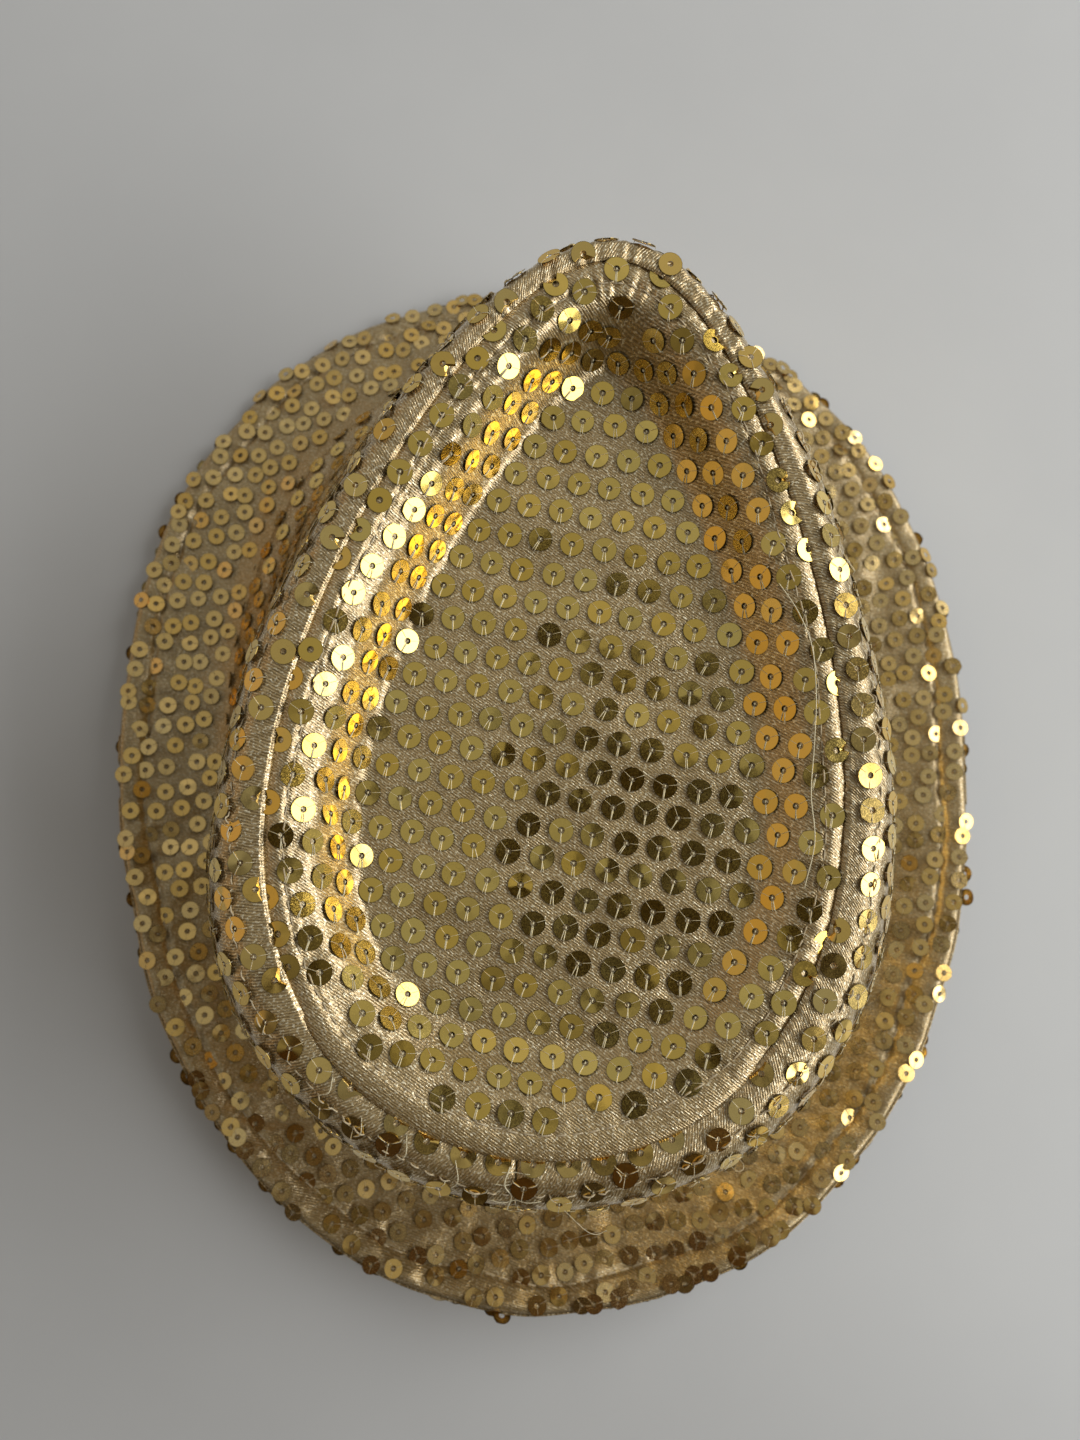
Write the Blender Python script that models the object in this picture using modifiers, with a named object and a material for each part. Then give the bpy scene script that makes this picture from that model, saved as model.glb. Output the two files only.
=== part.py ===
"""Sequinned trilby party hat with a teardrop crown.

Frame: metres, +Z up, +Y towards the front (the narrow end of the crown),
+X towards the wearer's right, origin on the resting plane at the middle of
the brim. The hat lies on a table: the front of the brim dips to the table
and its sides and back are turned up.

Every sheet is a loft between unlike ovals and teardrops. A sheet is made as
an open surface, moved along its normals to its own layer and given its
thickness by a Solidify modifier. All layers of one panel share the same
stations around the hat, so that they stay parallel.
"""
import bpy
import bmesh
import math
import numpy as np
from mathutils import Vector

MM = 0.001
COLLECTION = "new_year_party_hat"

# ---------------------------------------------------------------- dimensions
AROUND = 40                 # stations around every ring
# from the middle of the back, anticlockwise seen from above
STATION_ANGLES = -math.pi / 2 + np.arange(AROUND) * 2 * math.pi / AROUND

# teardrop seam between the tip panel and the side panel
SEAM_HALF_LENGTH = 88.2 * MM
SEAM_HALF_WIDTH = 54.8 * MM
SEAM_TAPER = 0.306          # how much the front is narrowed and the back widened
SEAM_CENTRE = (1.6 * MM, 7.5 * MM)
SEAM_TWIST = math.radians(-8.3)     # turns the front end to the right
SEAM_Z_FRONT = 106.0 * MM
SEAM_Z_BACK = 96.5 * MM
SEAM_Z_SIDE = 99.5 * MM
SEAM_SAMPLES = 720          # points used to measure distances from the seam

# dented tip: the floor of the dent leans, and its left wall is the steeper one
TIP_SHELF = 6.0 * MM        # width of the swollen strip beside the seam
TIP_PUFF = 0.7 * MM         # how far that strip swells
TIP_SLOPE_START = 5.5 * MM  # distance from the seam where the wall starts
TIP_SLOPE_SHIFT = 2.0 * MM  # further in on the left and further out on the right
TIP_SHIFT_SPAN = 45.0 * MM  # sideways distance at which the shift is complete
TIP_SLOPE_END = 18.7 * MM   # distance from the seam where the floor is reached
TIP_BACK_STRETCH = 0.15     # share by which the slope's end moves in at the back
TIP_STRETCH_START = 0.55    # share of the half length where that begins
TIP_STRETCH_SPAN = 0.3      # share of the half length over which it grows
TIP_DENT = 11.0 * MM        # depth of the floor below the seam, at its centre
TIP_DENT_FRONT = 0.060      # extra depth per unit of length towards the front
TIP_DENT_LEFT = 0.070       # extra depth per unit of width towards the left
TIP_EDGE_GAP = 0.18 * MM    # from the seam to the edge of the tip panel
TIP_MIDDLE = (SEAM_CENTRE[0] - 2.0 * MM, SEAM_CENTRE[1] - 14.0 * MM)
# sizes of the tip's rings about TIP_MIDDLE, from the seam inwards
TIP_SCALES = (1.0, 0.93, 0.85, 0.75, 0.64, 0.40, 0.14)
TIP_SEQUIN_SCALE = 0.905    # outer edge of the sequins, between rings 1 and 2

# head opening, measured on the outside of the crown
BASE_HALF_LENGTH = 109.5 * MM
BASE_HALF_WIDTH = 86.5 * MM
BASE_CENTRE_Y = 6.0 * MM
BASE_SQUARENESS = 2.1
BASE_Z = 2.6 * MM           # middle of the brim's thickness at the crown
BASE_FRONT_RAISE = 6.0 * MM

# Rings of the side panel, from the seam over the ridge to the base:
# half length and half width beyond the seam's (mm), taper, drop (mm),
# share of the way from the seam height to the base height, squareness,
# share of the way from the seam's centre and twist to the base's, and
# shift towards the front (mm).
BASE_BEYOND = ((BASE_HALF_LENGTH - SEAM_HALF_LENGTH) / MM,
               (BASE_HALF_WIDTH - SEAM_HALF_WIDTH) / MM)
WALL_RINGS = (
    (0.2, 0.2, SEAM_TAPER, 0.0, 0.00, 2.00, 0.00, 0.0),
    (4.0, 4.4, SEAM_TAPER, -1.2, 0.00, 2.00, 0.00, -0.8),
    (7.0, 8.4, 0.302, 2.2, 0.00, 2.00, 0.02, -2.2),
    (8.8, 11.6, 0.290, 9.0, 0.00, 2.00, 0.06, -3.4),
    (11.2, 15.8, 0.245, 0.0, 0.30, 2.02, 0.20, -3.4),
    (14.6, 22.2, 0.150, 0.0, 0.60, 2.05, 0.45, -2.0),
    (18.6, 28.4, 0.050, 0.0, 0.86, 2.09, 0.82, -0.6),
    (*BASE_BEYOND, 0.0, -3.0, 1.00, BASE_SQUARENESS, 1.00, 0.0),
    (*BASE_BEYOND, 0.0, 2.0, 1.00, BASE_SQUARENESS, 1.00, 0.0),
)

# brim
BRIM_HALF_LENGTH = 139.8 * MM
BRIM_HALF_WIDTH = 117.5 * MM
BRIM_TAPER = -0.055         # negative: wider towards the front
BRIM_BULGE = 0.016
BRIM_SQUARENESS = 2.13
BRIM_Z_FRONT = 2.5 * MM
BRIM_Z_BACK = 22.0 * MM
BRIM_Z_SIDE = 9.9 * MM
BRIM_CROWN_GAP = 0.9 * MM   # from the crown to the inner edge of the brim
BRIM_CURL = 1.5             # power by which the brim bends up towards its edge
BRIM_SHARES = (0.0, 0.30, 0.58, 0.82, 0.965)    # rings, from crown to edge
STIFFENER_SHARE = 0.90      # where the stiffener ends
BRIM_TURN = 0.9 * MM        # heights of the panels' last two rings, from the
BRIM_LIP = 0.18 * MM        # middle of the rim

# thicknesses
FABRIC = 0.6 * MM
INTERLINING = 0.8 * MM
LINING = 0.4 * MM
GAP = 0.32 * MM
SEQUIN_LAYER = 0.45 * MM
STIFFENER = 1.2 * MM
SWEATBAND = 1.2 * MM
THREAD_RADIUS = 0.22 * MM

# distances of the layers along the normals
INTERLINING_IN = FABRIC + GAP
LINING_IN = INTERLINING_IN + INTERLINING + GAP
SWEATBAND_IN = LINING_IN + LINING + GAP + 0.25 * MM
SEQUINS_OUT = GAP + SEQUIN_LAYER
THREAD_OUT = GAP + THREAD_RADIUS * 1.2
BRIM_FACE = STIFFENER / 2 + GAP + FABRIC

# Places along a panel, as ring numbers; a fraction lies between two rings.
TIP_SEQUIN_EDGE = 1 + ((TIP_SCALES[1] - TIP_SEQUIN_SCALE)
                       / (TIP_SCALES[1] - TIP_SCALES[2]))
TIP_SEQUIN_ROWS = (TIP_SEQUIN_EDGE, 2, 3, 4, 5, 6)
SIDE_SEQUIN_ROWS = (1.75, 2, 3, 4, 5, 6, 6.80)
SWEATBAND_ROWS = (5.7396, 6, 7, 8)
BRIM_SEQUIN_ROWS = (0.18, 1, 2, 2.75)
BACK_STITCH_ROWS = (1.8, 2, 3, 4, 5, 6, 6.7)
RIDGE_INNER_STITCH = 0.95   # on the tip
RIDGE_OUTER_STITCH = 1.35   # on the side panel
BRIM_STITCH = 3.15
SWEATBAND_STITCH = 1.75     # on the sweatband's own rings

# Openings at the back, in stations on each side of the middle
PANEL_OPENING = 0.02
SEQUIN_OPENING = 0.24
BACK_STITCH_ASIDE = 0.10    # the back stitches run this far to the right


# ----------------------------------------------------------------- materials
THREAD_LOOK = ((0.60, 0.52, 0.36), 0.6, 0.0)
# colour, roughness, metallic
LOOKS = {
    "satin": ((0.58, 0.49, 0.34), 0.35, 0.0),
    "satin_side": ((0.55, 0.46, 0.31), 0.35, 0.0),
    "satin_brim": ((0.52, 0.43, 0.28), 0.38, 0.0),
    "satin_under": ((0.52, 0.43, 0.28), 0.40, 0.0),
    "gold_tip": ((0.80, 0.62, 0.18), 0.25, 1.0),
    "gold_side": ((0.78, 0.60, 0.18), 0.25, 1.0),
    "gold_brim": ((0.74, 0.55, 0.16), 0.25, 1.0),
    "gold_under": ((0.74, 0.55, 0.16), 0.28, 1.0),
    "backing_tip": ((0.80, 0.79, 0.74), 0.9, 0.0),
    "backing_side": ((0.80, 0.79, 0.74), 0.9, 0.0),
    "board": ((0.72, 0.70, 0.64), 0.85, 0.0),
    "lining_tip": ((0.50, 0.41, 0.25), 0.55, 0.0),
    "lining_side": ((0.50, 0.41, 0.25), 0.55, 0.0),
    "tape": ((0.62, 0.53, 0.37), 0.7, 0.0),
    "thread_ridge_in": THREAD_LOOK,
    "thread_ridge_out": THREAD_LOOK,
    "thread_brim_top": THREAD_LOOK,
    "thread_brim_under": THREAD_LOOK,
    "thread_back": THREAD_LOOK,
    "thread_sweatband": THREAD_LOOK,
}


def material(name):
    """A new material with the look of that name."""
    colour, roughness, metallic = LOOKS[name]
    mat = bpy.data.materials.new(name)
    mat.use_nodes = True
    shader = mat.node_tree.nodes["Principled BSDF"]
    shader.inputs["Base Color"].default_value = (*colour, 1.0)
    shader.inputs["Roughness"].default_value = roughness
    shader.inputs["Metallic"].default_value = metallic
    mat.diffuse_color = (*colour, 1.0)
    return mat


# ---------------------------------------------------------- ovals and heights
def oval(half_length, half_width, taper=0.0, bulge=0.0, centre=(0.0, 0.0),
         twist=0.0, squareness=2.0, angles=STATION_ANGLES):
    """x, y and lengthwise share of an egg-shaped ring seen from above.

    The lengthwise share runs from -1 (back) to 1 (front).
    """
    sines, cosines = np.sin(angles), np.cos(angles)
    along = np.sign(sines) * np.abs(sines) ** (2.0 / squareness)
    across = np.sign(cosines) * np.abs(cosines) ** (2.0 / squareness)
    x = half_width * across * (1.0 - taper * along + bulge * along * along)
    y = half_length * along
    cos_twist, sin_twist = math.cos(twist), math.sin(twist)
    return (centre[0] + x * cos_twist - y * sin_twist,
            centre[1] + x * sin_twist + y * cos_twist, along)


def three_point_height(along, front, back, side):
    """A height that passes through its back, side and front values."""
    return side + (front - back) / 2 * along + ((front + back) / 2 - side) * along * along


def seam_height(along):
    return three_point_height(along, SEAM_Z_FRONT, SEAM_Z_BACK, SEAM_Z_SIDE)


def base_height(y):
    """Middle of the brim at the crown: level, and raised at the front."""
    forward = np.clip((y - BASE_CENTRE_Y) / BASE_HALF_LENGTH, 0.0, 1.0)
    return BASE_Z + BASE_FRONT_RAISE * forward * forward


def smooth(share):
    """Ease from 0 to 1 with level ends."""
    k = np.clip(share, 0.0, 1.0)
    return k * k * k * (k * (6.0 * k - 15.0) + 10.0)


def distance_from_seam(x, y):
    angles = np.arange(SEAM_SAMPLES) * 2 * math.pi / SEAM_SAMPLES
    seam_x, seam_y, _ = oval(SEAM_HALF_LENGTH, SEAM_HALF_WIDTH, SEAM_TAPER,
                             centre=SEAM_CENTRE, twist=SEAM_TWIST, angles=angles)
    return np.hypot(x[:, None] - seam_x, y[:, None] - seam_y).min(axis=1)


def tip_height(x, y):
    """Height of the tip panel: a rim beside the seam, then the dent."""
    right, forward = x - SEAM_CENTRE[0], y - SEAM_CENTRE[1]
    along = (-right * math.sin(SEAM_TWIST)
             + forward * math.cos(SEAM_TWIST)) / SEAM_HALF_LENGTH
    inside = distance_from_seam(x, y)
    stretch = 1.0 + TIP_BACK_STRETCH * smooth((-along - TIP_STRETCH_START)
                                              / TIP_STRETCH_SPAN)
    begin = TIP_SLOPE_START - TIP_SLOPE_SHIFT * np.clip(right / TIP_SHIFT_SPAN, -1, 1)
    fall = smooth((inside - begin) / (TIP_SLOPE_END * stretch - begin))
    depth = TIP_DENT + TIP_DENT_FRONT * forward - TIP_DENT_LEFT * right
    puff = TIP_PUFF * np.sin(np.clip(inside / TIP_SHELF, 0.0, 1.0) * math.pi)
    return seam_height(along) - depth * fall + puff


# ---------------------------------------------------------------------- rings
def tip_rings():
    """Rings of the tip panel, from the seam inwards."""
    edge_x, edge_y, _ = oval(SEAM_HALF_LENGTH - TIP_EDGE_GAP,
                             SEAM_HALF_WIDTH - TIP_EDGE_GAP,
                             SEAM_TAPER, centre=SEAM_CENTRE, twist=SEAM_TWIST)
    rings = []
    for scale in TIP_SCALES:
        x = TIP_MIDDLE[0] + (edge_x - TIP_MIDDLE[0]) * scale
        y = TIP_MIDDLE[1] + (edge_y - TIP_MIDDLE[1]) * scale
        rings.append(np.stack([x, y, tip_height(x, y)], axis=1))
    return np.array(rings)


def wall_rings():
    """Rings of the side panel, from the seam to the base."""
    rings = []
    for longer, wider, taper, drop, share, squareness, blend, shift in WALL_RINGS:
        centre = (SEAM_CENTRE[0] * (1.0 - blend),
                  SEAM_CENTRE[1] * (1.0 - blend) + BASE_CENTRE_Y * blend + shift * MM)
        x, y, along = oval(SEAM_HALF_LENGTH + longer * MM,
                           SEAM_HALF_WIDTH + wider * MM, taper, centre=centre,
                           twist=SEAM_TWIST * (1.0 - blend), squareness=squareness)
        z = seam_height(along) * (1.0 - share) + base_height(y) * share - drop * MM
        rings.append(np.stack([x, y, z], axis=1))
    return np.array(rings)


def brim_rings(shares):
    """Middle surface of the brim, at shares of the way from crown to edge."""
    base_x, base_y, _ = oval(BASE_HALF_LENGTH + BRIM_CROWN_GAP,
                             BASE_HALF_WIDTH + BRIM_CROWN_GAP,
                             centre=(0.0, BASE_CENTRE_Y), squareness=BASE_SQUARENESS)
    edge_x, edge_y, along = oval(BRIM_HALF_LENGTH, BRIM_HALF_WIDTH, BRIM_TAPER,
                                 BRIM_BULGE, squareness=BRIM_SQUARENESS)
    base_z = base_height(base_y)
    edge_z = three_point_height(along, BRIM_Z_FRONT, BRIM_Z_BACK, BRIM_Z_SIDE)
    return np.array([
        np.stack([base_x + (edge_x - base_x) * share,
                  base_y + (edge_y - base_y) * share,
                  base_z + (edge_z - base_z) * share ** BRIM_CURL], axis=1)
        for share in shares])


# ------------------------------------------------------------------- surfaces
def ring_normals(rings):
    """Mitred normals of rings that are closed around the hat.

    Moving every vertex by a distance times its normal moves the faces by
    that distance.
    """
    ahead = np.roll(rings, -1, axis=1)
    face = np.cross(ahead[1:] - rings[:-1], rings[1:] - ahead[:-1])
    face /= np.linalg.norm(face, axis=2, keepdims=True)
    beside = np.roll(face, 1, axis=1)
    total = np.zeros_like(rings)
    total[:-1] += face + beside
    total[1:] += face + beside
    total /= np.linalg.norm(total, axis=2, keepdims=True)
    reach = np.zeros(rings.shape[:2])
    count = np.zeros(rings.shape[:2])
    for normal in (face, beside):
        reach[:-1] += (total[:-1] * normal).sum(axis=2)
        reach[1:] += (total[1:] * normal).sum(axis=2)
        count[:-1] += 1
        count[1:] += 1
    return total / (reach / count)[:, :, None]


class Surface:
    """Rings of points, each point with its normal."""

    def __init__(self, points, normals):
        self.points = points
        self.normals = normals

    def mapped(self, change):
        return Surface(change(self.points), change(self.normals))

    def moved(self, distance):
        """Moved along the normals."""
        return Surface(self.points + self.normals * distance, self.normals)

    def facing(self, sign):
        """The same points, with the normals reversed if sign is -1."""
        return Surface(self.points, self.normals * sign)

    def at(self, rows):
        """Rings at ring numbers, which may have fractions."""
        rows = np.array(rows)
        first = np.floor(rows).astype(int)
        after = np.minimum(first + 1, len(self.points) - 1)
        share = (rows - first)[:, None, None]
        return self.mapped(lambda grid: grid[first] * (1 - share) + grid[after] * share)

    def opened(self, share):
        """Cut at the back, a share of a station wide on each side."""
        def cut(grid):
            first = grid[:, :1] * (1 - share) + grid[:, 1:2] * share
            last = grid[:, :1] * (1 - share) + grid[:, -1:] * share
            return np.concatenate([first, grid[:, 1:], last], axis=1)
        return self.mapped(cut)


def upward_surface(rings):
    normals = ring_normals(rings)
    normals[normals[:, :, 2] < 0] *= -1
    return Surface(rings, normals)


def tip_surface():
    tip = upward_surface(tip_rings())
    # all the layers end one above the other at the seam
    tip.normals[0] = (0.0, 0.0, 1.0)
    return tip


def wall_surface():
    """The side panel's surface, with normals up on the ridge and outwards below."""
    rings = wall_rings()
    normals = ring_normals(rings)
    outwards = rings.copy()
    outwards[:, :, :2] -= SEAM_CENTRE
    outwards[:, :, 2] = 1.0
    wanted = np.where(normals[:, :, 2:] ** 2 > 0.5, np.array([0.0, 0.0, 1.0]), outwards)
    normals[(normals * wanted).sum(axis=2) < 0] *= -1
    normals[0] = (0.0, 0.0, 1.0)
    return Surface(rings, normals)


# -------------------------------------------------------------------- objects
def add_object(name, data, material_name):
    data.materials.append(material(material_name))
    obj = bpy.data.objects.new(name, data)
    collection.objects.link(obj)
    return obj


def sheet(name, surface, thickness, material_name, closed=True, capped=False):
    """A sheet through the rings of a surface.

    Its faces point along the normals, and it is thickened the other way.
    """
    points, normals = surface.points, surface.normals
    rows, columns = points.shape[:2]
    mesh = bpy.data.meshes.new(name)
    bm = bmesh.new()
    verts = [[bm.verts.new(Vector(point)) for point in row] for row in points]
    for i in range(rows - 1):
        for j in range(columns if closed else columns - 1):
            k = (j + 1) % columns
            bm.faces.new((verts[i][j], verts[i + 1][j],
                          verts[i + 1][k], verts[i][k]))
    if capped:
        bm.faces.new(verts[-1])
    bmesh.ops.recalc_face_normals(bm, faces=bm.faces)
    bm.faces.ensure_lookup_table()
    bm.normal_update()
    if bm.faces[0].normal.dot(Vector(normals[0][0] + normals[1][0])) < 0.0:
        bmesh.ops.reverse_faces(bm, faces=bm.faces)
    bm.to_mesh(mesh)
    bm.free()
    mesh.shade_smooth()
    solid = add_object(name, mesh, material_name).modifiers.new("thickness", "SOLIDIFY")
    solid.thickness = thickness
    solid.offset = -1.0
    solid.use_even_offset = True
    solid.use_quality_normals = True


def thread(name, points, material_name, cyclic=True):
    """A sewing thread along a row of points."""
    curve = bpy.data.curves.new(name, "CURVE")
    curve.dimensions = "3D"
    curve.bevel_depth = THREAD_RADIUS
    curve.bevel_resolution = 0
    curve.use_fill_caps = True
    spline = curve.splines.new("POLY")
    spline.points.add(len(points) - 1)
    for slot, point in zip(spline.points, points):
        slot.co = (*point, 1.0)
    spline.use_cyclic_u = cyclic
    add_object(name, curve, material_name)


def ring_thread(name, surface, row, distance, material_name):
    """A thread around the hat, at a ring number and a distance off a surface."""
    thread(name, surface.at([row]).moved(distance).points[0], material_name)


# --------------------------------------------------------------------- pieces
def build_tip():
    tip = tip_surface()
    sheet("tip_panel", tip, FABRIC, "satin", capped=True)
    sheet("tip_interlining", tip.moved(-INTERLINING_IN), INTERLINING, "backing_tip",
          capped=True)
    sheet("tip_lining", tip.moved(-LINING_IN), LINING, "lining_tip", capped=True)
    sheet("tip_sequins", tip.at(TIP_SEQUIN_ROWS).moved(SEQUINS_OUT), SEQUIN_LAYER,
          "gold_tip", capped=True)
    ring_thread("ridge_inner_stitch", tip, RIDGE_INNER_STITCH, THREAD_OUT,
                "thread_ridge_in")


def build_side(wall):
    sheet("side_panel", wall.opened(PANEL_OPENING), FABRIC, "satin_side", closed=False)
    sheet("side_interlining", wall.moved(-INTERLINING_IN), INTERLINING, "backing_side")
    sheet("side_lining", wall.moved(-LINING_IN), LINING, "lining_side")
    sequins = wall.at(SIDE_SEQUIN_ROWS).moved(SEQUINS_OUT).opened(SEQUIN_OPENING)
    sheet("side_sequins", sequins, SEQUIN_LAYER, "gold_side", closed=False)
    ring_thread("ridge_outer_stitch", wall, RIDGE_OUTER_STITCH, THREAD_OUT,
                "thread_ridge_out")
    back = wall.moved(THREAD_OUT).opened(BACK_STITCH_ASIDE).at(BACK_STITCH_ROWS)
    thread("back_seam_stitch", back.points[:, 0], "thread_back", cyclic=False)


def build_sweatband(wall):
    """The band inside the base of the crown.

    Its lower edge is level with the table except at the front, where it rises
    with the brim, and its lowest strip is upright so that the edge is flat.
    """
    band = wall.moved(-SWEATBAND_IN).at(SWEATBAND_ROWS)
    band.points[-1, :, 2] = base_height(wall.points[-1, :, 1]) - BASE_Z
    band.points[-2, :, :2] = band.points[-1, :, :2]
    sheet("sweatband", band, SWEATBAND, "tape")
    ring_thread("sweatband_stitch", band, SWEATBAND_STITCH, -(SWEATBAND + THREAD_OUT),
                "thread_sweatband")


def build_brim_face(word, sign, middle):
    """Panel, sequins and stitches on the top (sign 1) or underside (sign -1)."""
    side = middle.facing(sign)
    turn, lip = brim_rings((1.0, 1.0))
    turn[:, 2] += sign * BRIM_TURN
    lip[:, 2] += sign * BRIM_LIP
    body = side.moved(BRIM_FACE)
    # the two added rings are never moved, so they take the last ring's normals
    last = body.normals[-1]
    panel = Surface(np.concatenate([body.points, [turn, lip]]),
                    np.concatenate([body.normals, [last, last]]))
    # the top's materials are named after the brim itself
    finish = "brim" if sign > 0 else "under"
    sheet(f"brim_{word}_panel", panel, FABRIC, "satin_" + finish)
    sheet(f"brim_{word}_sequins", side.at(BRIM_SEQUIN_ROWS).moved(BRIM_FACE + SEQUINS_OUT),
          SEQUIN_LAYER, "gold_" + finish)
    ring_thread("brim_edge_stitch_" + word, side, BRIM_STITCH, BRIM_FACE + THREAD_OUT,
                "thread_brim_" + word)


def build_brim():
    middle = upward_surface(brim_rings(BRIM_SHARES))
    # the stiffener stops short of the panels' last ring
    points = middle.points.copy()
    points[-1] = brim_rings((STIFFENER_SHARE,))[0]
    stiffener = Surface(points, middle.normals).moved(STIFFENER / 2)
    sheet("brim_stiffener", stiffener, STIFFENER, "board")
    build_brim_face("top", 1.0, middle)
    build_brim_face("under", -1.0, middle)


for old in list(bpy.data.objects):
    bpy.data.objects.remove(old, do_unlink=True)
collection = bpy.data.collections.new(COLLECTION)
bpy.context.scene.collection.children.link(collection)

crown_wall = wall_surface()
build_tip()
build_side(crown_wall)
build_sweatband(crown_wall)
build_brim()
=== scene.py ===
"""Sequinned trilby: satin, sequins, threads, linings, floor, light and camera.

The hat stands upright on the floor at z = 0. Its front points to +Y, its left to -X,
and the back seam of the crown is at -Y. Lengths are in metres.
"""
import math

import bpy
import numpy as np
from mathutils import Matrix, Vector, kdtree


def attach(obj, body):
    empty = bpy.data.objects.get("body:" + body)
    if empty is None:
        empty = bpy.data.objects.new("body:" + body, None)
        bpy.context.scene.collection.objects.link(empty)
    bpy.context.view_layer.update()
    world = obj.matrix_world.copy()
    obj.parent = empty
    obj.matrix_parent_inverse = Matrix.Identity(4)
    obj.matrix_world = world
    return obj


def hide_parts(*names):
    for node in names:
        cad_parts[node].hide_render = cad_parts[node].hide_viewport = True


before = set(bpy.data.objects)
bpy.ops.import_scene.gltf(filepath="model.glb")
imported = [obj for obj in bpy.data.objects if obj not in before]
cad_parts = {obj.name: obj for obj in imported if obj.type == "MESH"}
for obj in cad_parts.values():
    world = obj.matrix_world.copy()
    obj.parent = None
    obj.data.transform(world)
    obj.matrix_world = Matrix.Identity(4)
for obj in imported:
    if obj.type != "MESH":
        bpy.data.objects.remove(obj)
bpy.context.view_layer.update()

MM = 0.001
TAU = 2.0 * math.pi
UPWARD = np.array([0.0, 0.0, 1.0])

# ------------------------------------------------------------------ dimensions
# the seam between the tip of the crown and its wall
SEAM_HALF_LENGTH, SEAM_HALF_WIDTH, SEAM_TAPER = 88.2 * MM, 54.8 * MM, 0.306
SEAM_CENTRE = np.array([1.6 * MM, 7.5 * MM])
SEAM_TWIST = math.radians(-8.3)
SEAM_Z = (106.0 * MM, 96.5 * MM, 99.5 * MM)          # front, back, side
# the foot of the crown
BASE_HALF_LENGTH, BASE_HALF_WIDTH, BASE_Y, BASE_POWER = 109.5 * MM, 86.5 * MM, 6.0 * MM, 2.1
BASE_Z, BASE_RAISE = 2.6 * MM, 6.0 * MM
# the rim of the brim
BRIM_HALF_LENGTH, BRIM_HALF_WIDTH = 139.8 * MM, 117.5 * MM
BRIM_TAPER, BRIM_BULGE, BRIM_POWER = -0.055, 0.016, 2.13
BRIM_Z = (2.5 * MM, 22.0 * MM, 9.9 * MM)             # front, back, side
# layers: room each takes up, then the thickness of the modelled sheets
FABRIC, INTERLINING, LINING, GAP = 0.6 * MM, 0.8 * MM, 0.4 * MM, 0.32 * MM
STIFFENER, BAND = 1.2 * MM, 1.2 * MM
CLOTH_SHEET, BRIM_SHEET, LINING_SHEET = 0.45 * MM, 0.42 * MM, 0.25 * MM
BACKING_SHEET, BAND_SHEET = INTERLINING * 0.8, BAND * 0.9
BACKING_DEPTH = FABRIC + GAP
LINING_DEPTH = FABRIC + GAP * 2 + INTERLINING
BAND_DEPTH = LINING_DEPTH + GAP + LINING + 0.25 * MM
SPANGLE_R = 2.5 * MM

COLUMNS = 720                                        # mesh columns around the hat
ANGLES = -math.pi / 2 + np.arange(COLUMNS) * TAU / COLUMNS    # from the back seam


# ----------------------------------------------------------------------- maths
def smooth(share):
    share = np.clip(share, 0.0, 1.0)
    return share * share * share * (share * (6.0 * share - 15.0) + 10.0)


def ease(share):
    share = np.clip(share, 0.0, 1.0)
    return share * share * (3.0 - 2.0 * share)


def unit(vectors):
    return vectors / np.maximum(np.linalg.norm(vectors, axis=-1, keepdims=True), 1e-12)


def bell(distance, width):
    return np.exp(-(distance / width) ** 2)


def fade(distance, length):
    return np.exp(-distance / length)


def run_down(rows):
    """Length run from the first row to each row, column by column."""
    steps = np.linalg.norm(np.diff(rows, axis=0), axis=-1)
    return np.concatenate([np.zeros((1,) + steps.shape[1:]), np.cumsum(steps, axis=0)])


def run_round(ring):
    """Length run along a closed ring; the extra last entry is the whole length."""
    return run_down(np.concatenate([ring, ring[:1]]))


def oval(angle, half_length, half_width, taper=0.0, bulge=0.0, centre=(0.0, 0.0),
         twist=0.0, power=2.0):
    """Tapered superellipse: x, y, and the place along it from -1 (back) to 1 (front)."""
    sine, cosine = np.sin(angle), np.cos(angle)
    along = np.sign(sine) * np.abs(sine) ** (2.0 / power)
    across = np.sign(cosine) * np.abs(cosine) ** (2.0 / power)
    x = half_width * across * (1.0 - taper * along + bulge * along * along)
    y = half_length * along
    cosine, sine = math.cos(twist), math.sin(twist)
    return centre[0] + x * cosine - y * sine, centre[1] + x * sine + y * cosine, along


def seam_oval(angle, inset=0.0):
    return oval(angle, SEAM_HALF_LENGTH - inset, SEAM_HALF_WIDTH - inset, SEAM_TAPER,
                centre=SEAM_CENTRE, twist=SEAM_TWIST)


def three_point(along, front, back, side):
    """Parabola through the heights at the front, the back and the sides."""
    return side + (front - back) / 2 * along + ((front + back) / 2 - side) * along * along


def base_height(y):
    share = np.clip((y - BASE_Y) / BASE_HALF_LENGTH, 0.0, 1.0)
    return BASE_Z + BASE_RAISE * share * share


class Noise:
    """A smooth field of random waves, fixed by its seed; size is the mean wavelength."""

    def __init__(self, seed, size, count=24):
        rng = np.random.default_rng(seed)
        self.waves = unit(rng.normal(size=(count, 3))) / size * TAU
        self.waves *= rng.uniform(0.6, 1.5, size=(count, 1))
        self.phases = rng.uniform(0, TAU, size=count)
        self.scale = 1.0 / math.sqrt(count / 2.0)

    def __call__(self, x, y, z=0.0):
        z = np.broadcast_to(z, x.shape)
        total = np.zeros(x.shape)
        for wave, phase in zip(self.waves, self.phases):
            total += np.sin(wave[0] * x + wave[1] * y + wave[2] * z + phase)
        return total * self.scale


def pucker(arc, total, seed, size):
    """A wavy field along a closed line, whole waves only, so that it meets itself."""
    rng = np.random.default_rng(seed)
    waves = np.zeros(np.shape(arc))
    for _ in range(26):
        turns = round(total / size * rng.uniform(0.55, 1.6))
        waves += np.sin(arc / total * TAU * turns + rng.uniform(0, TAU))
    return waves / math.sqrt(13.0)


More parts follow.
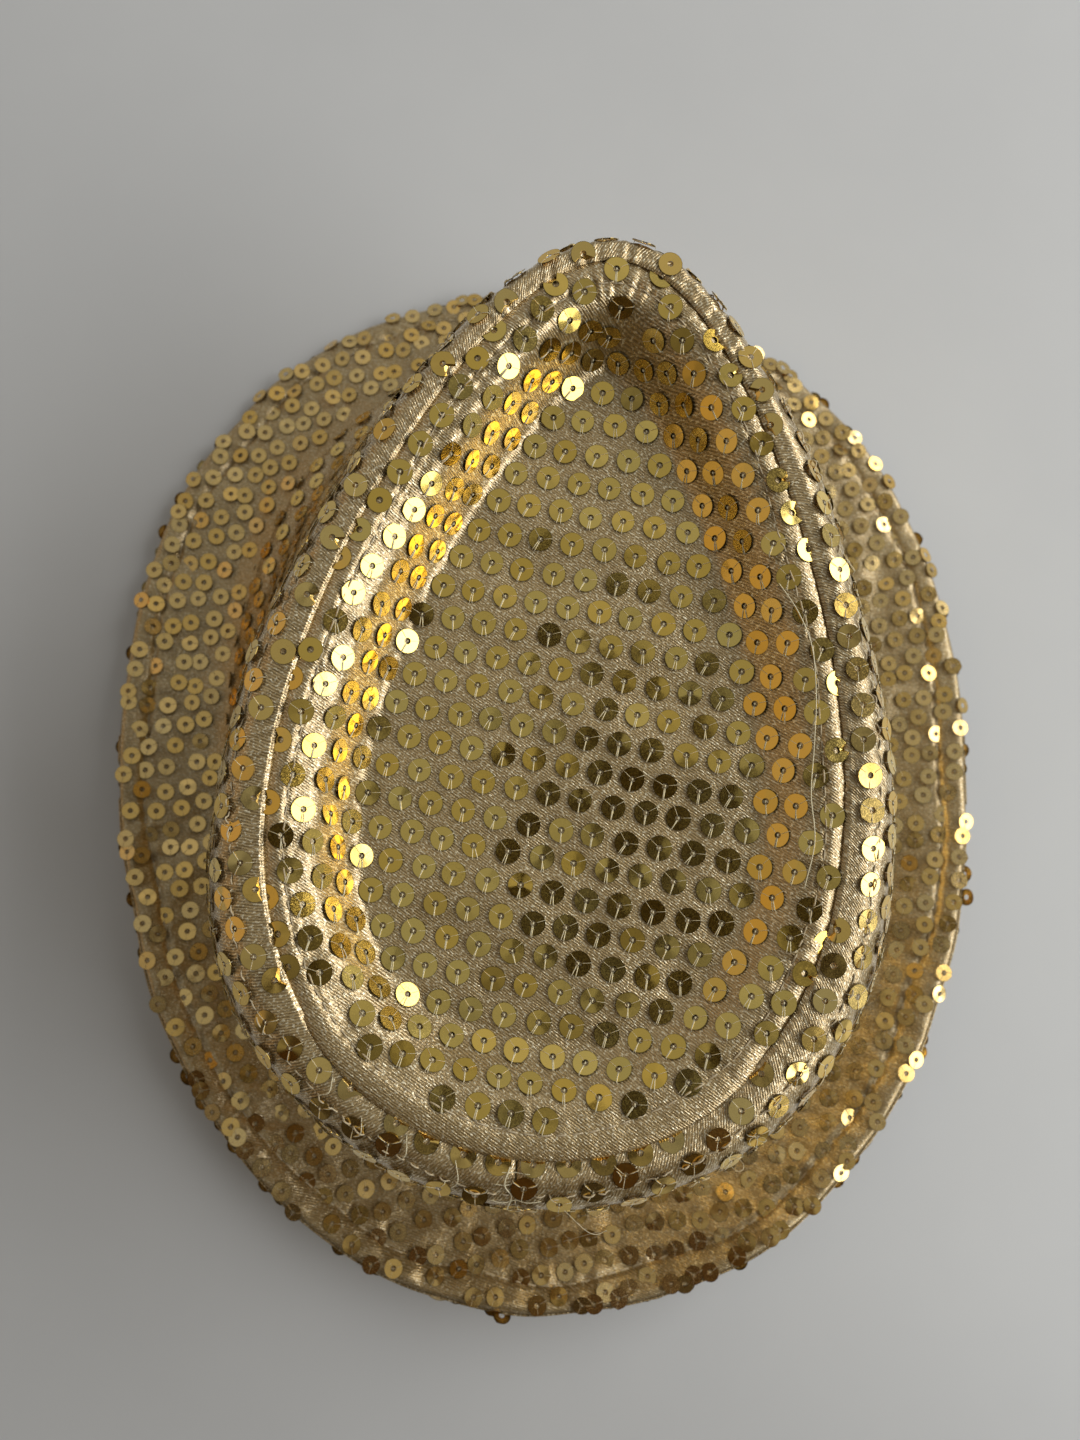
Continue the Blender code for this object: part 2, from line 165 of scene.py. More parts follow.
def back_lap(angle):
    """1 at the back, where the folded edge of the tip lies over the wall, else 0."""
    return smooth((-np.sin(angle) - 0.66) / 0.22)


def spline(points, count):
    """Smooth curves through rows of points, resampled evenly by mean length."""
    rows = len(points)
    gaps = np.linalg.norm(np.diff(points, axis=0), axis=2).mean(axis=1)
    knot = np.concatenate([[0.0], np.cumsum(gaps)])
    slope = np.zeros_like(points)
    for i in range(1, rows - 1):
        before, after = knot[i] - knot[i - 1], knot[i + 1] - knot[i]
        slope[i] = ((points[i] - points[i - 1]) / before * after
                    + (points[i + 1] - points[i]) / after * before) / (before + after)
    slope[0] = (points[1] - points[0]) / (knot[1] - knot[0])
    slope[-1] = (points[-1] - points[-2]) / (knot[-1] - knot[-2])
    at = np.linspace(0, knot[-1], count)
    i = np.clip(np.searchsorted(knot, at, side="right") - 1, 0, rows - 2)
    span = knot[i + 1] - knot[i]
    k = ((at - knot[i]) / span)[:, None, None]
    span = span[:, None, None]
    return ((2 * k ** 3 - 3 * k ** 2 + 1) * points[i]
            + (k ** 3 - 2 * k ** 2 + k) * span * slope[i]
            + (-2 * k ** 3 + 3 * k ** 2) * points[i + 1]
            + (k ** 3 - k ** 2) * span * slope[i + 1])


def grid_normals(grid, facing):
    """Unit normals of rings closed around the hat, turned to the side of facing."""
    along = np.roll(grid, -1, axis=1) - np.roll(grid, 1, axis=1)
    normals = unit(np.cross(along, np.gradient(grid, axis=0)))
    return normals * np.sign((normals * facing).sum(axis=2, keepdims=True) + 1e-12)


def level(vectors):
    """Plan vectors with a zero height added."""
    return np.concatenate([vectors, np.zeros(vectors.shape[:-1] + (1,))], axis=-1)


def between(values, i, share):
    return values[i] * (1 - share) + values[i + 1] * share


# ------------------------------------------------------------ seam and tip shape
SEAM_ANGLES = np.arange(1440) * TAU / 1440
SEAM_POINTS = np.stack(seam_oval(SEAM_ANGLES)[:2], axis=1)
SEAM_ALONG = unit(np.roll(SEAM_POINTS, -1, axis=0) - np.roll(SEAM_POINTS, 1, axis=0))
SEAM_IN = np.stack([-SEAM_ALONG[:, 1], SEAM_ALONG[:, 0]], axis=1)   # points into the tip
SEAM_RUN = run_round(SEAM_POINTS)
SEAM_BACK = back_lap(SEAM_ANGLES)


def seam_nearest(x, y):
    """Signed distance inside the seam, and the index of the nearest seam point."""
    batch = 4000
    points = np.stack([np.ravel(x), np.ravel(y)], axis=1)
    index = np.empty(len(points), int)
    for start in range(0, len(points), batch):
        offset = points[start:start + batch, None, :] - SEAM_POINTS[None, ::2, :]
        index[start:start + batch] = (offset ** 2).sum(axis=2).argmin(axis=1) * 2
    gap = points - SEAM_POINTS[index]
    inside = (gap * SEAM_IN[index]).sum(axis=1)
    along = (gap * SEAM_ALONG[index]).sum(axis=1)
    distance = np.sign(inside) * np.hypot(inside, along)
    return distance.reshape(np.shape(x)), index.reshape(np.shape(x))


def tip_height(x, y, inside=None):
    """Height of the tip panel: a rim beside the seam, then the dent."""
    right, ahead = x - SEAM_CENTRE[0], y - SEAM_CENTRE[1]
    along = (-right * math.sin(SEAM_TWIST) + ahead * math.cos(SEAM_TWIST)) / SEAM_HALF_LENGTH
    if inside is None:
        inside, _ = seam_nearest(x, y)
    reach = 1.0 + 0.15 * smooth((-along - 0.55) / 0.3)
    begin = 5.5 * MM - 2.0 * MM * np.clip(right / (45.0 * MM), -1, 1)
    share = smooth((inside - begin) / (18.7 * MM * reach - begin))
    # on the left the dent starts with a gentle shoulder before it turns steep
    left = 0.125 * smooth((-right - 12.0 * MM) / (26.0 * MM))
    share = share * (1.0 - left) + left * smooth((inside - 3.2 * MM) / (7.6 * MM))
    depth = 11.0 * MM + 0.060 * ahead - 0.070 * right
    puff = 0.7 * MM * np.sin(np.clip(inside / (6.0 * MM), 0.0, 1.0) * math.pi)
    return three_point(along, *SEAM_Z) - depth * share + puff


WRINKLE_BROAD = Noise(5, 26 * MM)
WRINKLE_FINE = Noise(6, 9 * MM)


def tip_stitch_line(index):
    """Distance of the inner stitch row inside the seam."""
    return 4.6 * MM + 0.35 * MM * pucker(SEAM_RUN[index], SEAM_RUN[-1], seed=11, size=60 * MM)


def tip_relief(x, y, inside, index):
    """Small shape of the tip cloth: puckers at the stitches, a soft unevenness."""
    off_line = inside - tip_stitch_line(index)
    lap = SEAM_BACK[index]
    calm = 1.0 - 0.75 * lap
    puckers = pucker(SEAM_RUN[index], SEAM_RUN[-1], seed=12, size=4.2 * MM)
    relief = 0.16 * MM * fade(np.abs(off_line), 3.0 * MM) * puckers * calm
    relief -= 0.34 * MM * bell(off_line, 0.55 * MM) * (0.4 + 0.6 * calm)
    relief += 0.20 * MM * smooth(inside / (8 * MM)) * WRINKLE_BROAD(x, y)
    relief += 0.07 * MM * smooth(inside / (6 * MM)) * WRINKLE_FINE(x, y)
    # the edge sinks into the seam, except for the raised fold at the back
    relief -= 0.75 * MM * (1 - lap) * fade(np.maximum(inside, 0), 0.7 * MM)
    relief += 0.30 * MM * lap * bell(inside - 0.8 * MM, 1.3 * MM)
    return relief


# ---------------------------------------------------------------------- meshes
def add_mesh(name, verts, quads, mat, uv=None, attrs=None, tris=None, replaces=None):
    mesh = bpy.data.meshes.new(name)
    verts = np.ascontiguousarray(verts, np.float32).reshape(-1, 3)
    faces = [np.asarray(part, np.int32) for part in (quads, tris) if part is not None]
    loops = np.concatenate([part.ravel() for part in faces])
    sizes = np.concatenate([np.full(len(part), part.shape[1], np.int32) for part in faces])
    mesh.vertices.add(len(verts))
    mesh.vertices.foreach_set("co", verts.ravel())
    mesh.loops.add(len(loops))
    mesh.loops.foreach_set("vertex_index", loops)
    mesh.polygons.add(len(sizes))
    starts = np.concatenate([[0], np.cumsum(sizes)[:-1]]).astype(np.int32)
    mesh.polygons.foreach_set("loop_start", starts)
    mesh.polygons.foreach_set("use_smooth", np.full(len(sizes), True))
    mesh.update(calc_edges=True)
    mesh.validate()
    if uv is not None:
        layer = mesh.uv_layers.new(name="UVMap")
        layer.data.foreach_set("uv", np.asarray(uv, np.float32)[loops].ravel())
    for key, values in (attrs or {}).items():
        attribute = mesh.attributes.new(key, "FLOAT", "POINT")
        attribute.data.foreach_set("value", np.asarray(values, np.float32))
    mesh.materials.append(mat)
    obj = bpy.data.objects.new(name, mesh)
    bpy.context.scene.collection.objects.link(obj)
    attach(obj, "root")
    if replaces:
        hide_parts(replaces)
    return obj


def ring_quads(rows, cols, closed=True):
    i = np.arange(rows - 1)[:, None]
    j = np.arange(cols if closed else cols - 1)[None, :]
    k = (j + 1) % cols
    corners = [i * cols + j, (i + 1) * cols + j, (i + 1) * cols + k, i * cols + k]
    return np.stack(corners, axis=-1).reshape(-1, 4)


def repeat_faces(faces, copies, vert_count):
    """The faces of one piece, repeated for copies that follow each other."""
    base = (np.arange(copies) * vert_count)[:, None, None]
    return (faces[None] + base).reshape(-1, faces.shape[1])


def shell(name, outer, normals, thickness, mat, uv=None, capped=False,
          closed=True, replaces=None):
    """A closed sheet: rings on its outer face, thickened against the normals."""
    rows, cols = outer.shape[:2]
    count = rows * cols
    inner = outer - normals * thickness
    verts = np.concatenate([outer.reshape(-1, 3), inner.reshape(-1, 3)])
    quads = ring_quads(rows, cols, closed)
    corners = verts[quads]
    facing = np.cross(corners[:, 2] - corners[:, 0], corners[:, 3] - corners[:, 1])
    want = normals.reshape(-1, 3)[quads[:, 0]]
    flipped = (facing * want).sum(axis=1).mean() < 0

    def turned(faces, reverse):
        return faces[:, ::-1] if reverse else faces

    quads = turned(quads, flipped)
    j = np.arange(cols if closed else cols - 1)
    k = (j + 1) % cols
    first = np.stack([j, k, k + count, j + count], axis=1)
    last_row = (rows - 1) * cols
    parts = [quads, quads[:, ::-1] + count, turned(first, flipped)]
    if not capped:
        parts.append(turned(first + last_row, not flipped))
    if not closed:
        i = np.arange(rows - 1) * cols
        left = np.stack([i, i + cols, i + cols + count, i + count], axis=1)
        parts += [turned(left, not flipped), turned(left + cols - 1, flipped)]
    flat_uv = None if uv is None else np.concatenate([uv.reshape(-1, 2)] * 2)
    tris = None
    if capped:
        verts = np.concatenate([verts, [outer[-1].mean(axis=0), inner[-1].mean(axis=0)]])
        flat_uv = np.concatenate([flat_uv, [uv[-1].mean(axis=0)] * 2])
        cap = np.stack([j + last_row, k + last_row, np.full(cols, 2 * count)], axis=1)
        under = cap + np.array([count, count, 1])
        corner, second, third = verts[cap[0]]
        down = (np.cross(second - corner, third - corner) * normals[-1, 0]).sum() < 0
        tris = np.concatenate([turned(cap, down), turned(under, not down)])
    add_mesh(name, verts, np.concatenate(parts), mat, uv=flat_uv, tris=tris,
             replaces=replaces)


def tubes(paths, radius, sides, up=UPWARD):
    """Capped tubes through paths of shape (tubes, points, 3)."""
    count, points, _ = paths.shape
    tangent = unit(np.gradient(paths, axis=1))
    side = np.cross(tangent, np.broadcast_to(up, tangent.shape))
    side = unit(np.where(np.linalg.norm(side, axis=2, keepdims=True) < 1e-4,
                         np.cross(tangent, [1.0, 0.3, 0.1]), side))
    other = np.cross(side, tangent)
    angle = (np.arange(sides) * TAU / sides)[None, None, :, None]
    ring = paths[:, :, None, :] + radius * (side[:, :, None, :] * np.cos(angle)
                                            + other[:, :, None, :] * np.sin(angle))
    end = (points - 1) * sides
    tris = []
    for i in range(1, sides - 1):
        tris += [[0, i, i + 1], [end, end + i + 1, end + i]]
    quads = repeat_faces(ring_quads(points, sides), count, points * sides)
    tris = repeat_faces(np.array(tris), count, points * sides)
    return ring.reshape(-1, 3), quads[:, ::-1], tris[:, ::-1]


def add_tubes(name, parts, mat, replaces=None):
    """One thread mesh from several results of tubes()."""
    verts, quads, tris = zip(*parts)
    base = np.cumsum([0] + [len(part) for part in verts])
    add_mesh(name, np.concatenate(verts),
             np.concatenate([part + start for part, start in zip(quads, base)]),
             mat, replaces=replaces,
             tris=np.concatenate([part + start for part, start in zip(tris, base)]))


# ------------------------------------------------------------------- materials
class Graph:
    """Short ways to add linked shader nodes to a material or a world."""

    def __init__(self, owner):
        owner.use_nodes = True
        self.tree = owner.node_tree

    def feed(self, node, inputs):
        """Link sockets and set plain values, by input name or number."""
        for key, value in inputs.items():
            if isinstance(value, bpy.types.NodeSocket):
                self.tree.links.new(value, node.inputs[key])
            else:
                node.inputs[key].default_value = value

    def add(self, kind, inputs=None, **settings):
        node = self.tree.nodes.new("ShaderNode" + kind)
        for key, value in settings.items():
            setattr(node, key, value)
        self.feed(node, inputs or {})
        return node

    def uv(self):
        return self.add("UVMap", uv_map="UVMap").outputs[0]

    def object_place(self):
        return self.add("TexCoord").outputs["Object"]

    def attribute(self, name):
        return self.add("Attribute", attribute_name=name).outputs["Fac"]

    def mix(self, first, second, factor):
        if isinstance(first, tuple):
            first = (*first, 1.0)
        return self.add("Mix", {0: factor, 6: first, 7: (*second, 1.0)},
                        data_type="RGBA").outputs[2]

    def ramp(self, value, span, to=(0.0, 1.0), interpolation="LINEAR"):
        return self.add("MapRange", {0: value, 1: span[0], 2: span[1], 3: to[0], 4: to[1]},
                        interpolation_type=interpolation).outputs[0]

    def maths(self, kind, first, second):
        return self.add("Math", {0: first, 1: second}, operation=kind).outputs[0]

    def noise(self, vector, grain, detail, rough):
        return self.add("TexNoise", {"Scale": 1 / grain, "Detail": detail,
                                     "Roughness": rough, "Vector": vector}).outputs["Fac"]

    def mapping(self, vector, scale=(1, 1, 1), rotation=(0, 0, 0)):
        return self.add("Mapping", {"Scale": scale, "Rotation": rotation,
                                    "Vector": vector}).outputs[0]

    def bump(self, height, strength, distance):
        return self.add("Bump", {"Strength": strength, "Distance": distance,
                                 "Height": height}).outputs[0]


def new_material(name):
    mat = bpy.data.materials.new(name)
    graph = Graph(mat)
    return mat, graph, graph.tree.nodes["Principled BSDF"]


def scaled(colour, factor):
    return tuple(channel * factor for channel in colour)


def satin_material(name, colour, deep, twill_angle, glint=1.0):
    """Polyester satin twill, with painted glints in its colour. Its UV map is in metres along
    the cloth.
    """
    twill_pitch, yarn = 0.50 * MM, 0.42 * MM
    mat, graph, shader = new_material(name)
    flat = graph.uv()
    turned = graph.mapping(flat, rotation=(0, 0, math.radians(twill_angle)))
    wave = graph.add("TexWave", {"Scale": 0.314 / twill_pitch, "Distortion": 1.6,
                                 "Detail": 2.0, "Detail Scale": 1.5, "Vector": turned},
                     wave_type="BANDS", bands_direction="Y")
    lines = graph.ramp(wave.outputs["Fac"], span=(0.25, 0.85))
    # floats of yarn along the twill line: short streaks that catch the light; the colour is
    # also painted lighter on them, a painted highlight
    streak = graph.noise(graph.mapping(turned, scale=(0.32, 1.0, 1.0)),
                         grain=yarn, detail=3.0, rough=0.65)
    sparkle = graph.noise(graph.mapping(turned, scale=(0.62, 1.0, 1.0)),
                          grain=yarn, detail=1.0, rough=0.5)
    broad = graph.noise(flat, grain=14 * MM, detail=3.0, rough=0.55)
    base = graph.mix(deep, colour, lines)
    base = graph.mix(base, tuple(min(1.0, c * 1.16) for c in colour),
                     graph.ramp(streak, span=(0.48, 0.72), to=(0.0, 0.75)))
    base = graph.mix(base, scaled(colour, 0.82),
                     graph.ramp(broad, span=(0.45, 0.75), to=(0.0, 0.5)))
    # painted glints: pale specks mixed into the colour where the sparkle noise is high, scaled
    # by glint
    base = graph.mix(base, (1.0, 0.91, 0.66),
                     graph.ramp(sparkle, span=(0.55, 0.66), to=(0.0, 0.92 * glint)))
    height = graph.maths("ADD", graph.maths("MULTIPLY", lines, 0.30),
                         graph.maths("MULTIPLY", streak, 0.9))
    height = graph.maths("ADD", height, graph.maths("MULTIPLY", sparkle, 1.0))
    bump = graph.bump(height, strength=1.0, distance=0.105 * MM)
    tangent = graph.add("Tangent", direction_type="UV_MAP", uv_map="UVMap")
    graph.feed(shader, {
        "Base Color": base,
        "Metallic": 0.66,
        "Roughness": graph.ramp(streak, span=(0.35, 0.7), to=(0.36, 0.20)),
        "Specular IOR Level": graph.ramp(sparkle, span=(0.52, 0.70), to=(0.55, 1.0)),
        "Coat Weight": 0.55 * glint,
        "Coat IOR": 1.9,
        "Coat Roughness": 0.24,
        "Coat Tint": (1.0, 0.97, 0.90, 1.0),
        "Anisotropic": 0.65,
        "Sheen Weight": 0.05,
        "Sheen Roughness": 0.35,
        "Sheen Tint": (1.0, 0.93, 0.80, 1.0),
        "Tangent": tangent.outputs[0],
        "Normal": bump,
        "Coat Normal": bump,
    })
    return mat


def sequin_material(name, tint, rough):
    """Metallised film: mirror gold with moulding ripples and rubbed spots."""
    mat, graph, shader = new_material(name)
    tone = graph.attribute("tone")
    place = graph.object_place()
    fine = graph.noise(place, grain=0.9 * MM, detail=2.0, rough=0.5)
    wear = graph.noise(place, grain=0.35 * MM, detail=3.0, rough=0.7)
    warm = (tint[0], tint[1] * 0.90, tint[2] * 0.75)
    pale = (min(1.0, tint[0] * 1.02), min(1.0, tint[1] * 1.05), tint[2] * 1.35)
    colour = graph.mix(warm, pale, tone)
    colour = graph.mix(colour, scaled(tint, 0.72),
                       graph.ramp(wear, span=(0.60, 0.80), to=(0.0, 0.45)))
    # darker at the cut edge and at the edge of the hole
    colour = graph.mix(colour, scaled(tint, 0.16),
                       graph.ramp(graph.attribute("rim"), span=(0.35, 1.0), to=(0.0, 0.9)))
    worn = graph.ramp(wear, span=(0.45, 0.8), to=(rough, rough + 0.16))
    graph.feed(shader, {
        "Base Color": colour,
        "Metallic": 1.0,
        "Roughness": graph.maths("ADD", worn, graph.maths("MULTIPLY", tone, 0.05)),
        "Normal": graph.bump(fine, strength=0.30, distance=0.012 * MM),
    })
    return mat


def thread_material(name, colour, rough, ply):
    mat, graph, shader = new_material(name)
    fuzz = graph.noise(graph.object_place(), grain=ply, detail=3.0, rough=0.6)
    graph.feed(shader, {
        "Base Color": graph.mix(scaled(colour, 0.62), colour,
                                graph.ramp(fuzz, span=(0.35, 0.62))),
        "Roughness": rough,
        "Sheen Weight": 0.25,
        "Normal": graph.bump(fuzz, strength=0.5, distance=0.05 * MM),
    })
    return mat


def weave_material(name, colour, deep, pitch, rough, sheen, use_uv=True, strength=0.6):
    """Plain weave or rib, from two crossed bands; pitch is their size in X and Y."""
    mat, graph, shader = new_material(name)
    vector = graph.uv() if use_uv else graph.object_place()
    bands = [graph.add("TexWave", {"Scale": 0.31 / size * 0.5, "Distortion": 0.5,
                                   "Detail": 1.0, "Vector": vector},
                       bands_direction=direction).outputs["Fac"]
             for direction, size in zip("XY", pitch)]
    grain = graph.noise(vector, grain=pitch[0] * 0.9, detail=3.0, rough=0.6)
    weave = graph.maths("MULTIPLY", graph.maths("ADD", bands[0], bands[1]), 0.5)
    mixed = graph.maths("ADD", graph.maths("MULTIPLY", weave, 0.7),
                        graph.maths("MULTIPLY", grain, 0.45))
    graph.feed(shader, {
        "Base Color": graph.mix(deep, colour, graph.ramp(mixed, span=(0.3, 0.85))),
        "Roughness": rough,
        "Sheen Weight": sheen,
        "Normal": graph.bump(mixed, strength=strength, distance=0.12 * MM),
    })
    return mat


SATIN = (0.58, 0.425, 0.200)
SATIN_DEEP = (0.30, 0.205, 0.080)
satin_tip = satin_material("satin_tip", SATIN, SATIN_DEEP, twill_angle=38.0)
satin_side = satin_material("satin_side", SATIN, SATIN_DEEP, twill_angle=60.0)
# the brim's satin is a copy of the same satin painted 10% darker, as painted shade, with fewer
# painted glints and a thinner coat
satin_brim = satin_material("satin_brim", scaled(SATIN, 0.90), SATIN_DEEP,
                            twill_angle=20.0, glint=0.6)
gold_tip = sequin_material("gold_tip", tint=(0.92, 0.675, 0.155), rough=0.10)
gold_side = sequin_material("gold_side", tint=(0.92, 0.67, 0.19), rough=0.12)
gold_brim = sequin_material("gold_brim", tint=(0.92, 0.66, 0.225), rough=0.17)
thread_pale = thread_material("thread_pale", (0.95, 0.86, 0.58), rough=0.28, ply=0.25 * MM)
thread_fine = thread_material("thread_fine", (0.74, 0.64, 0.40), rough=0.35, ply=0.25 * MM)
thread_sew = thread_material("thread_sew", (0.66, 0.54, 0.34), rough=0.45, ply=0.35 * MM)
backing = weave_material("backing_felt", (0.80, 0.79, 0.74), deep=(0.66, 0.64, 0.58),
                         pitch=(0.9 * MM, 0.9 * MM), rough=0.9, sheen=0.05)
lining_mat = weave_material("lining_cloth", (0.50, 0.41, 0.255), deep=(0.33, 0.265, 0.155),
                            pitch=(0.45 * MM, 0.45 * MM), rough=0.42, sheen=0.2)
band_mat = weave_material("sweatband_tape", (0.66, 0.57, 0.40), deep=(0.42, 0.35, 0.225),
                          pitch=(0.95 * MM, 0.40 * MM), rough=0.7, sheen=0.25, strength=0.9)
foam_mat = weave_material("stiffener_foam", (0.74, 0.72, 0.66), deep=(0.60, 0.58, 0.52),
                          pitch=(0.8 * MM, 0.8 * MM), rough=0.9, sheen=0.0, use_uv=False)

# ---------------------------------------------------------------- tip of crown
MIDDLE = SEAM_CENTRE - np.array([2.0 * MM, 14.0 * MM])


def toward_middle(ring_x, ring_y, shares):
    return [middle + (ring - middle)[None, :] * shares[:, None]
            for middle, ring in zip(MIDDLE, (ring_x, ring_y))]


def turn_edge(grid, drops):
    """Adds rows before the first that hang straight below it."""
    turned = grid[:1].repeat(len(drops), axis=0)
    turned[:, :, 2] -= np.array(drops)[:, None] * MM
    return np.concatenate([turned, grid])


def edge_normals(direction, out, lift):
    """Normals of a turned edge: shares of a level direction and of straight up."""
    return unit(direction[None] * np.array(out)[:, None, None]
                + UPWARD * np.array(lift)[:, None, None])


def build_tip_cloth():
    """Returns the rings, their normals, and the seam distance and index per vertex."""
    ring_x, ring_y, _ = seam_oval(ANGLES, inset=0.15 * MM)
    shares = np.concatenate([np.linspace(1.0, 0.86, 26), np.linspace(0.853, 0.60, 34),
                             np.linspace(0.585, 0.03, 26)])
    x, y = toward_middle(ring_x, ring_y, shares)
    inside, index = seam_nearest(x, y)
    z = tip_height(x, y, inside) + tip_relief(x, y, inside, index)
    lap = 1.1 * MM * SEAM_BACK[index] * fade(np.maximum(inside, 0), 2.0 * MM)
    x = x - SEAM_IN[index][:, :, 0] * lap
    y = y - SEAM_IN[index][:, :, 1] * lap
    grid = turn_edge(np.stack([x, y, z], axis=2), drops=(3.2, 2.0, 0.9))
    normals = grid_normals(grid, UPWARD)
    outward = unit(level(np.stack([ring_x, ring_y], axis=1) - MIDDLE))
    normals[:3] = edge_normals(outward, out=(1.0, 0.95, 0.7), lift=(0.0, 0.3, 0.7))
    shell("tip_cloth", grid, normals, CLOTH_SHEET, satin_tip, uv=grid[:, :, :2],
          capped=True, replaces="tip_panel")
    return grid, normals, inside, index


def plain_tip(depth):
    """Plain layer at a depth below the outside of the tip."""
    columns = 240
    angles = -math.pi / 2 + np.arange(columns) * TAU / columns
    ring_x, ring_y, _ = seam_oval(angles, inset=3.0 * MM)
    shares = np.concatenate([np.linspace(1.0, 0.6, 30), np.linspace(0.56, 0.05, 10)])
    x, y = toward_middle(ring_x, ring_y, shares)
    grid = np.stack([x, y, tip_height(x, y)], axis=2)
    normals = grid_normals(grid, UPWARD)
    return grid - normals * depth, normals


tip_grid, tip_normals, tip_inside, tip_index = build_tip_cloth()
grid, normals = plain_tip(BACKING_DEPTH)
shell("tip_backing", grid, normals, BACKING_SHEET, backing,
      uv=grid[:, :, :2], capped=True, replaces="tip_interlining")
grid, normals = plain_tip(LINING_DEPTH)
grid[:, :, 2] += 0.25 * MM * WRINKLE_BROAD(grid[:, :, 0] + 0.3, grid[:, :, 1])
shell("tip_lining_cloth", grid, normals, LINING_SHEET, lining_mat,
      uv=grid[:, :, :2], capped=True, replaces="tip_lining")

# ------------------------------------------------------------------ crown wall
# rings from the seam down to the foot: growth of half length and half width over the
# seam (mm), taper, drop (mm), share of the foot's height, outline power, blend from
# the seam's centre and twist to the foot's, shift in y (mm)
WALL_RINGS = (
    (0.2, 0.2, 0.306, 0.0, 0.00, 2.00, 0.00, 0.0),
    (4.0, 4.4, 0.306, -0.3, 0.00, 2.00, 0.00, -0.8),
    (7.0, 8.4, 0.302, 2.2, 0.00, 2.00, 0.02, -2.2),
    (8.8, 11.6, 0.290, 9.0, 0.00, 2.00, 0.06, -3.4),
    (11.2, 15.8, 0.245, 0.0, 0.30, 2.02, 0.20, -3.4),
    (14.6, 22.2, 0.150, 0.0, 0.60, 2.05, 0.45, -2.0),
    (18.6, 28.4, 0.050, 0.0, 0.86, 2.09, 0.82, -0.6),
    (21.3, 31.7, 0.0, -3.0, 1.00, 2.10, 1.00, 0.0),
    (21.3, 31.7, 0.0, 2.0, 1.00, 2.10, 1.00, 0.0),
)
WALL_ROWS = 150


def wall_ring(longer, wider, taper, drop, share, power, blend, shift):
    centre = (SEAM_CENTRE[0] * (1 - blend),
              SEAM_CENTRE[1] * (1 - blend) + BASE_Y * blend + shift * MM)
    x, y, along = oval(ANGLES, SEAM_HALF_LENGTH + longer * MM, SEAM_HALF_WIDTH + wider * MM,
                       taper, centre=centre, twist=SEAM_TWIST * (1 - blend), power=power)
    z = three_point(along, *SEAM_Z) * (1 - share) + base_height(y) * share - drop * MM
    return np.stack([x, y, z], axis=1)


def xyz(grid):
    return np.moveaxis(grid, -1, 0)


wall = spline(np.array([wall_ring(*ring) for ring in WALL_RINGS]), WALL_ROWS)
wall_away = wall - np.array([*SEAM_CENTRE, 0.05])
wall_away[:, :, 2] = np.maximum(wall_away[:, :, 2], 0.0)
wall_normals = grid_normals(wall, wall_away)
WALL_DOWN = run_down(wall)                            # cloth length from the seam
ring_run = run_round(wall[0])
RING_RUN, RING_TOTAL = ring_run[:-1], ring_run[-1]
WALL_ARC = np.broadcast_to(RING_RUN[None, :], WALL_DOWN.shape)   # from the back seam
wall_uv = np.stack([WALL_ARC, WALL_DOWN], axis=2)

# the foot of the crown rolls outward into the brim, most at the front left
FRONT_LEFT = 0.5 + 0.5 * np.cos(ANGLES - math.radians(135.0))
FLARE = 2.2 * MM + 4.4 * MM * FRONT_LEFT
above_foot = WALL_DOWN[-1][None, :] - WALL_DOWN
flare_reach = (9.0 * MM + 10.0 * MM * FRONT_LEFT)[None, :]
flare = FLARE[None, :] * np.clip(1 - above_foot / flare_reach, 0, 1) ** 2
flare_normals = grid_normals(wall + wall_normals * flare[:, :, None], wall_away)

not_back = 1.0 - back_lap(ANGLES)[None, :]
wall_stitch_line = 7.2 * MM + 0.5 * MM * pucker(WALL_ARC, RING_TOTAL, seed=21, size=70 * MM)


def wall_relief():
    """How far the wall cloth stands off its plain shape."""
    calm = 0.45 + 0.55 * not_back
    off_line = WALL_DOWN - wall_stitch_line
    relief = 0.17 * MM * fade(np.abs(off_line), 3.0 * MM) * calm \
        * pucker(WALL_ARC, RING_TOTAL, seed=22, size=4.0 * MM)
    relief -= 0.36 * MM * bell(off_line, 0.55 * MM)
    relief += 0.12 * MM * fade(WALL_DOWN, 3.5 * MM) * calm \
        * pucker(WALL_ARC, RING_TOTAL, seed=23, size=3.2 * MM)
    # the top edge: a raised fold, but sunk at the back under the edge of the tip
    relief += 0.20 * MM * not_back * bell(WALL_DOWN - 0.35 * MM, 0.55 * MM)
    relief -= 0.45 * MM * (1 - not_back) * fade(WALL_DOWN, 2.0 * MM)
    # broad swellings, which only bulge outward, and a fine unevenness
    swell = Noise(31, 48 * MM)(*xyz(wall))
    swell = 0.5 * (swell - 0.5 + np.sqrt((swell + 0.5) ** 2 + 0.05))
    relief += 0.45 * MM * smooth(WALL_DOWN / (14 * MM)) * swell \
        * (1 - smooth((WALL_DOWN - 85 * MM) / (12 * MM)))
    relief += 0.08 * MM * smooth(WALL_DOWN / (8 * MM)) * Noise(32, 11 * MM)(*xyz(wall))
    relief += flare
    # the back seam pulls the cloth in along a line
    seam_gap = np.minimum(WALL_ARC, RING_TOTAL - WALL_ARC)
    relief -= 0.55 * MM * bell(seam_gap, 0.7 * MM)
    relief += 0.10 * MM * fade(seam_gap, 4 * MM) * np.sin(WALL_DOWN / (5.1 * MM) * TAU + 1.0)
    return relief


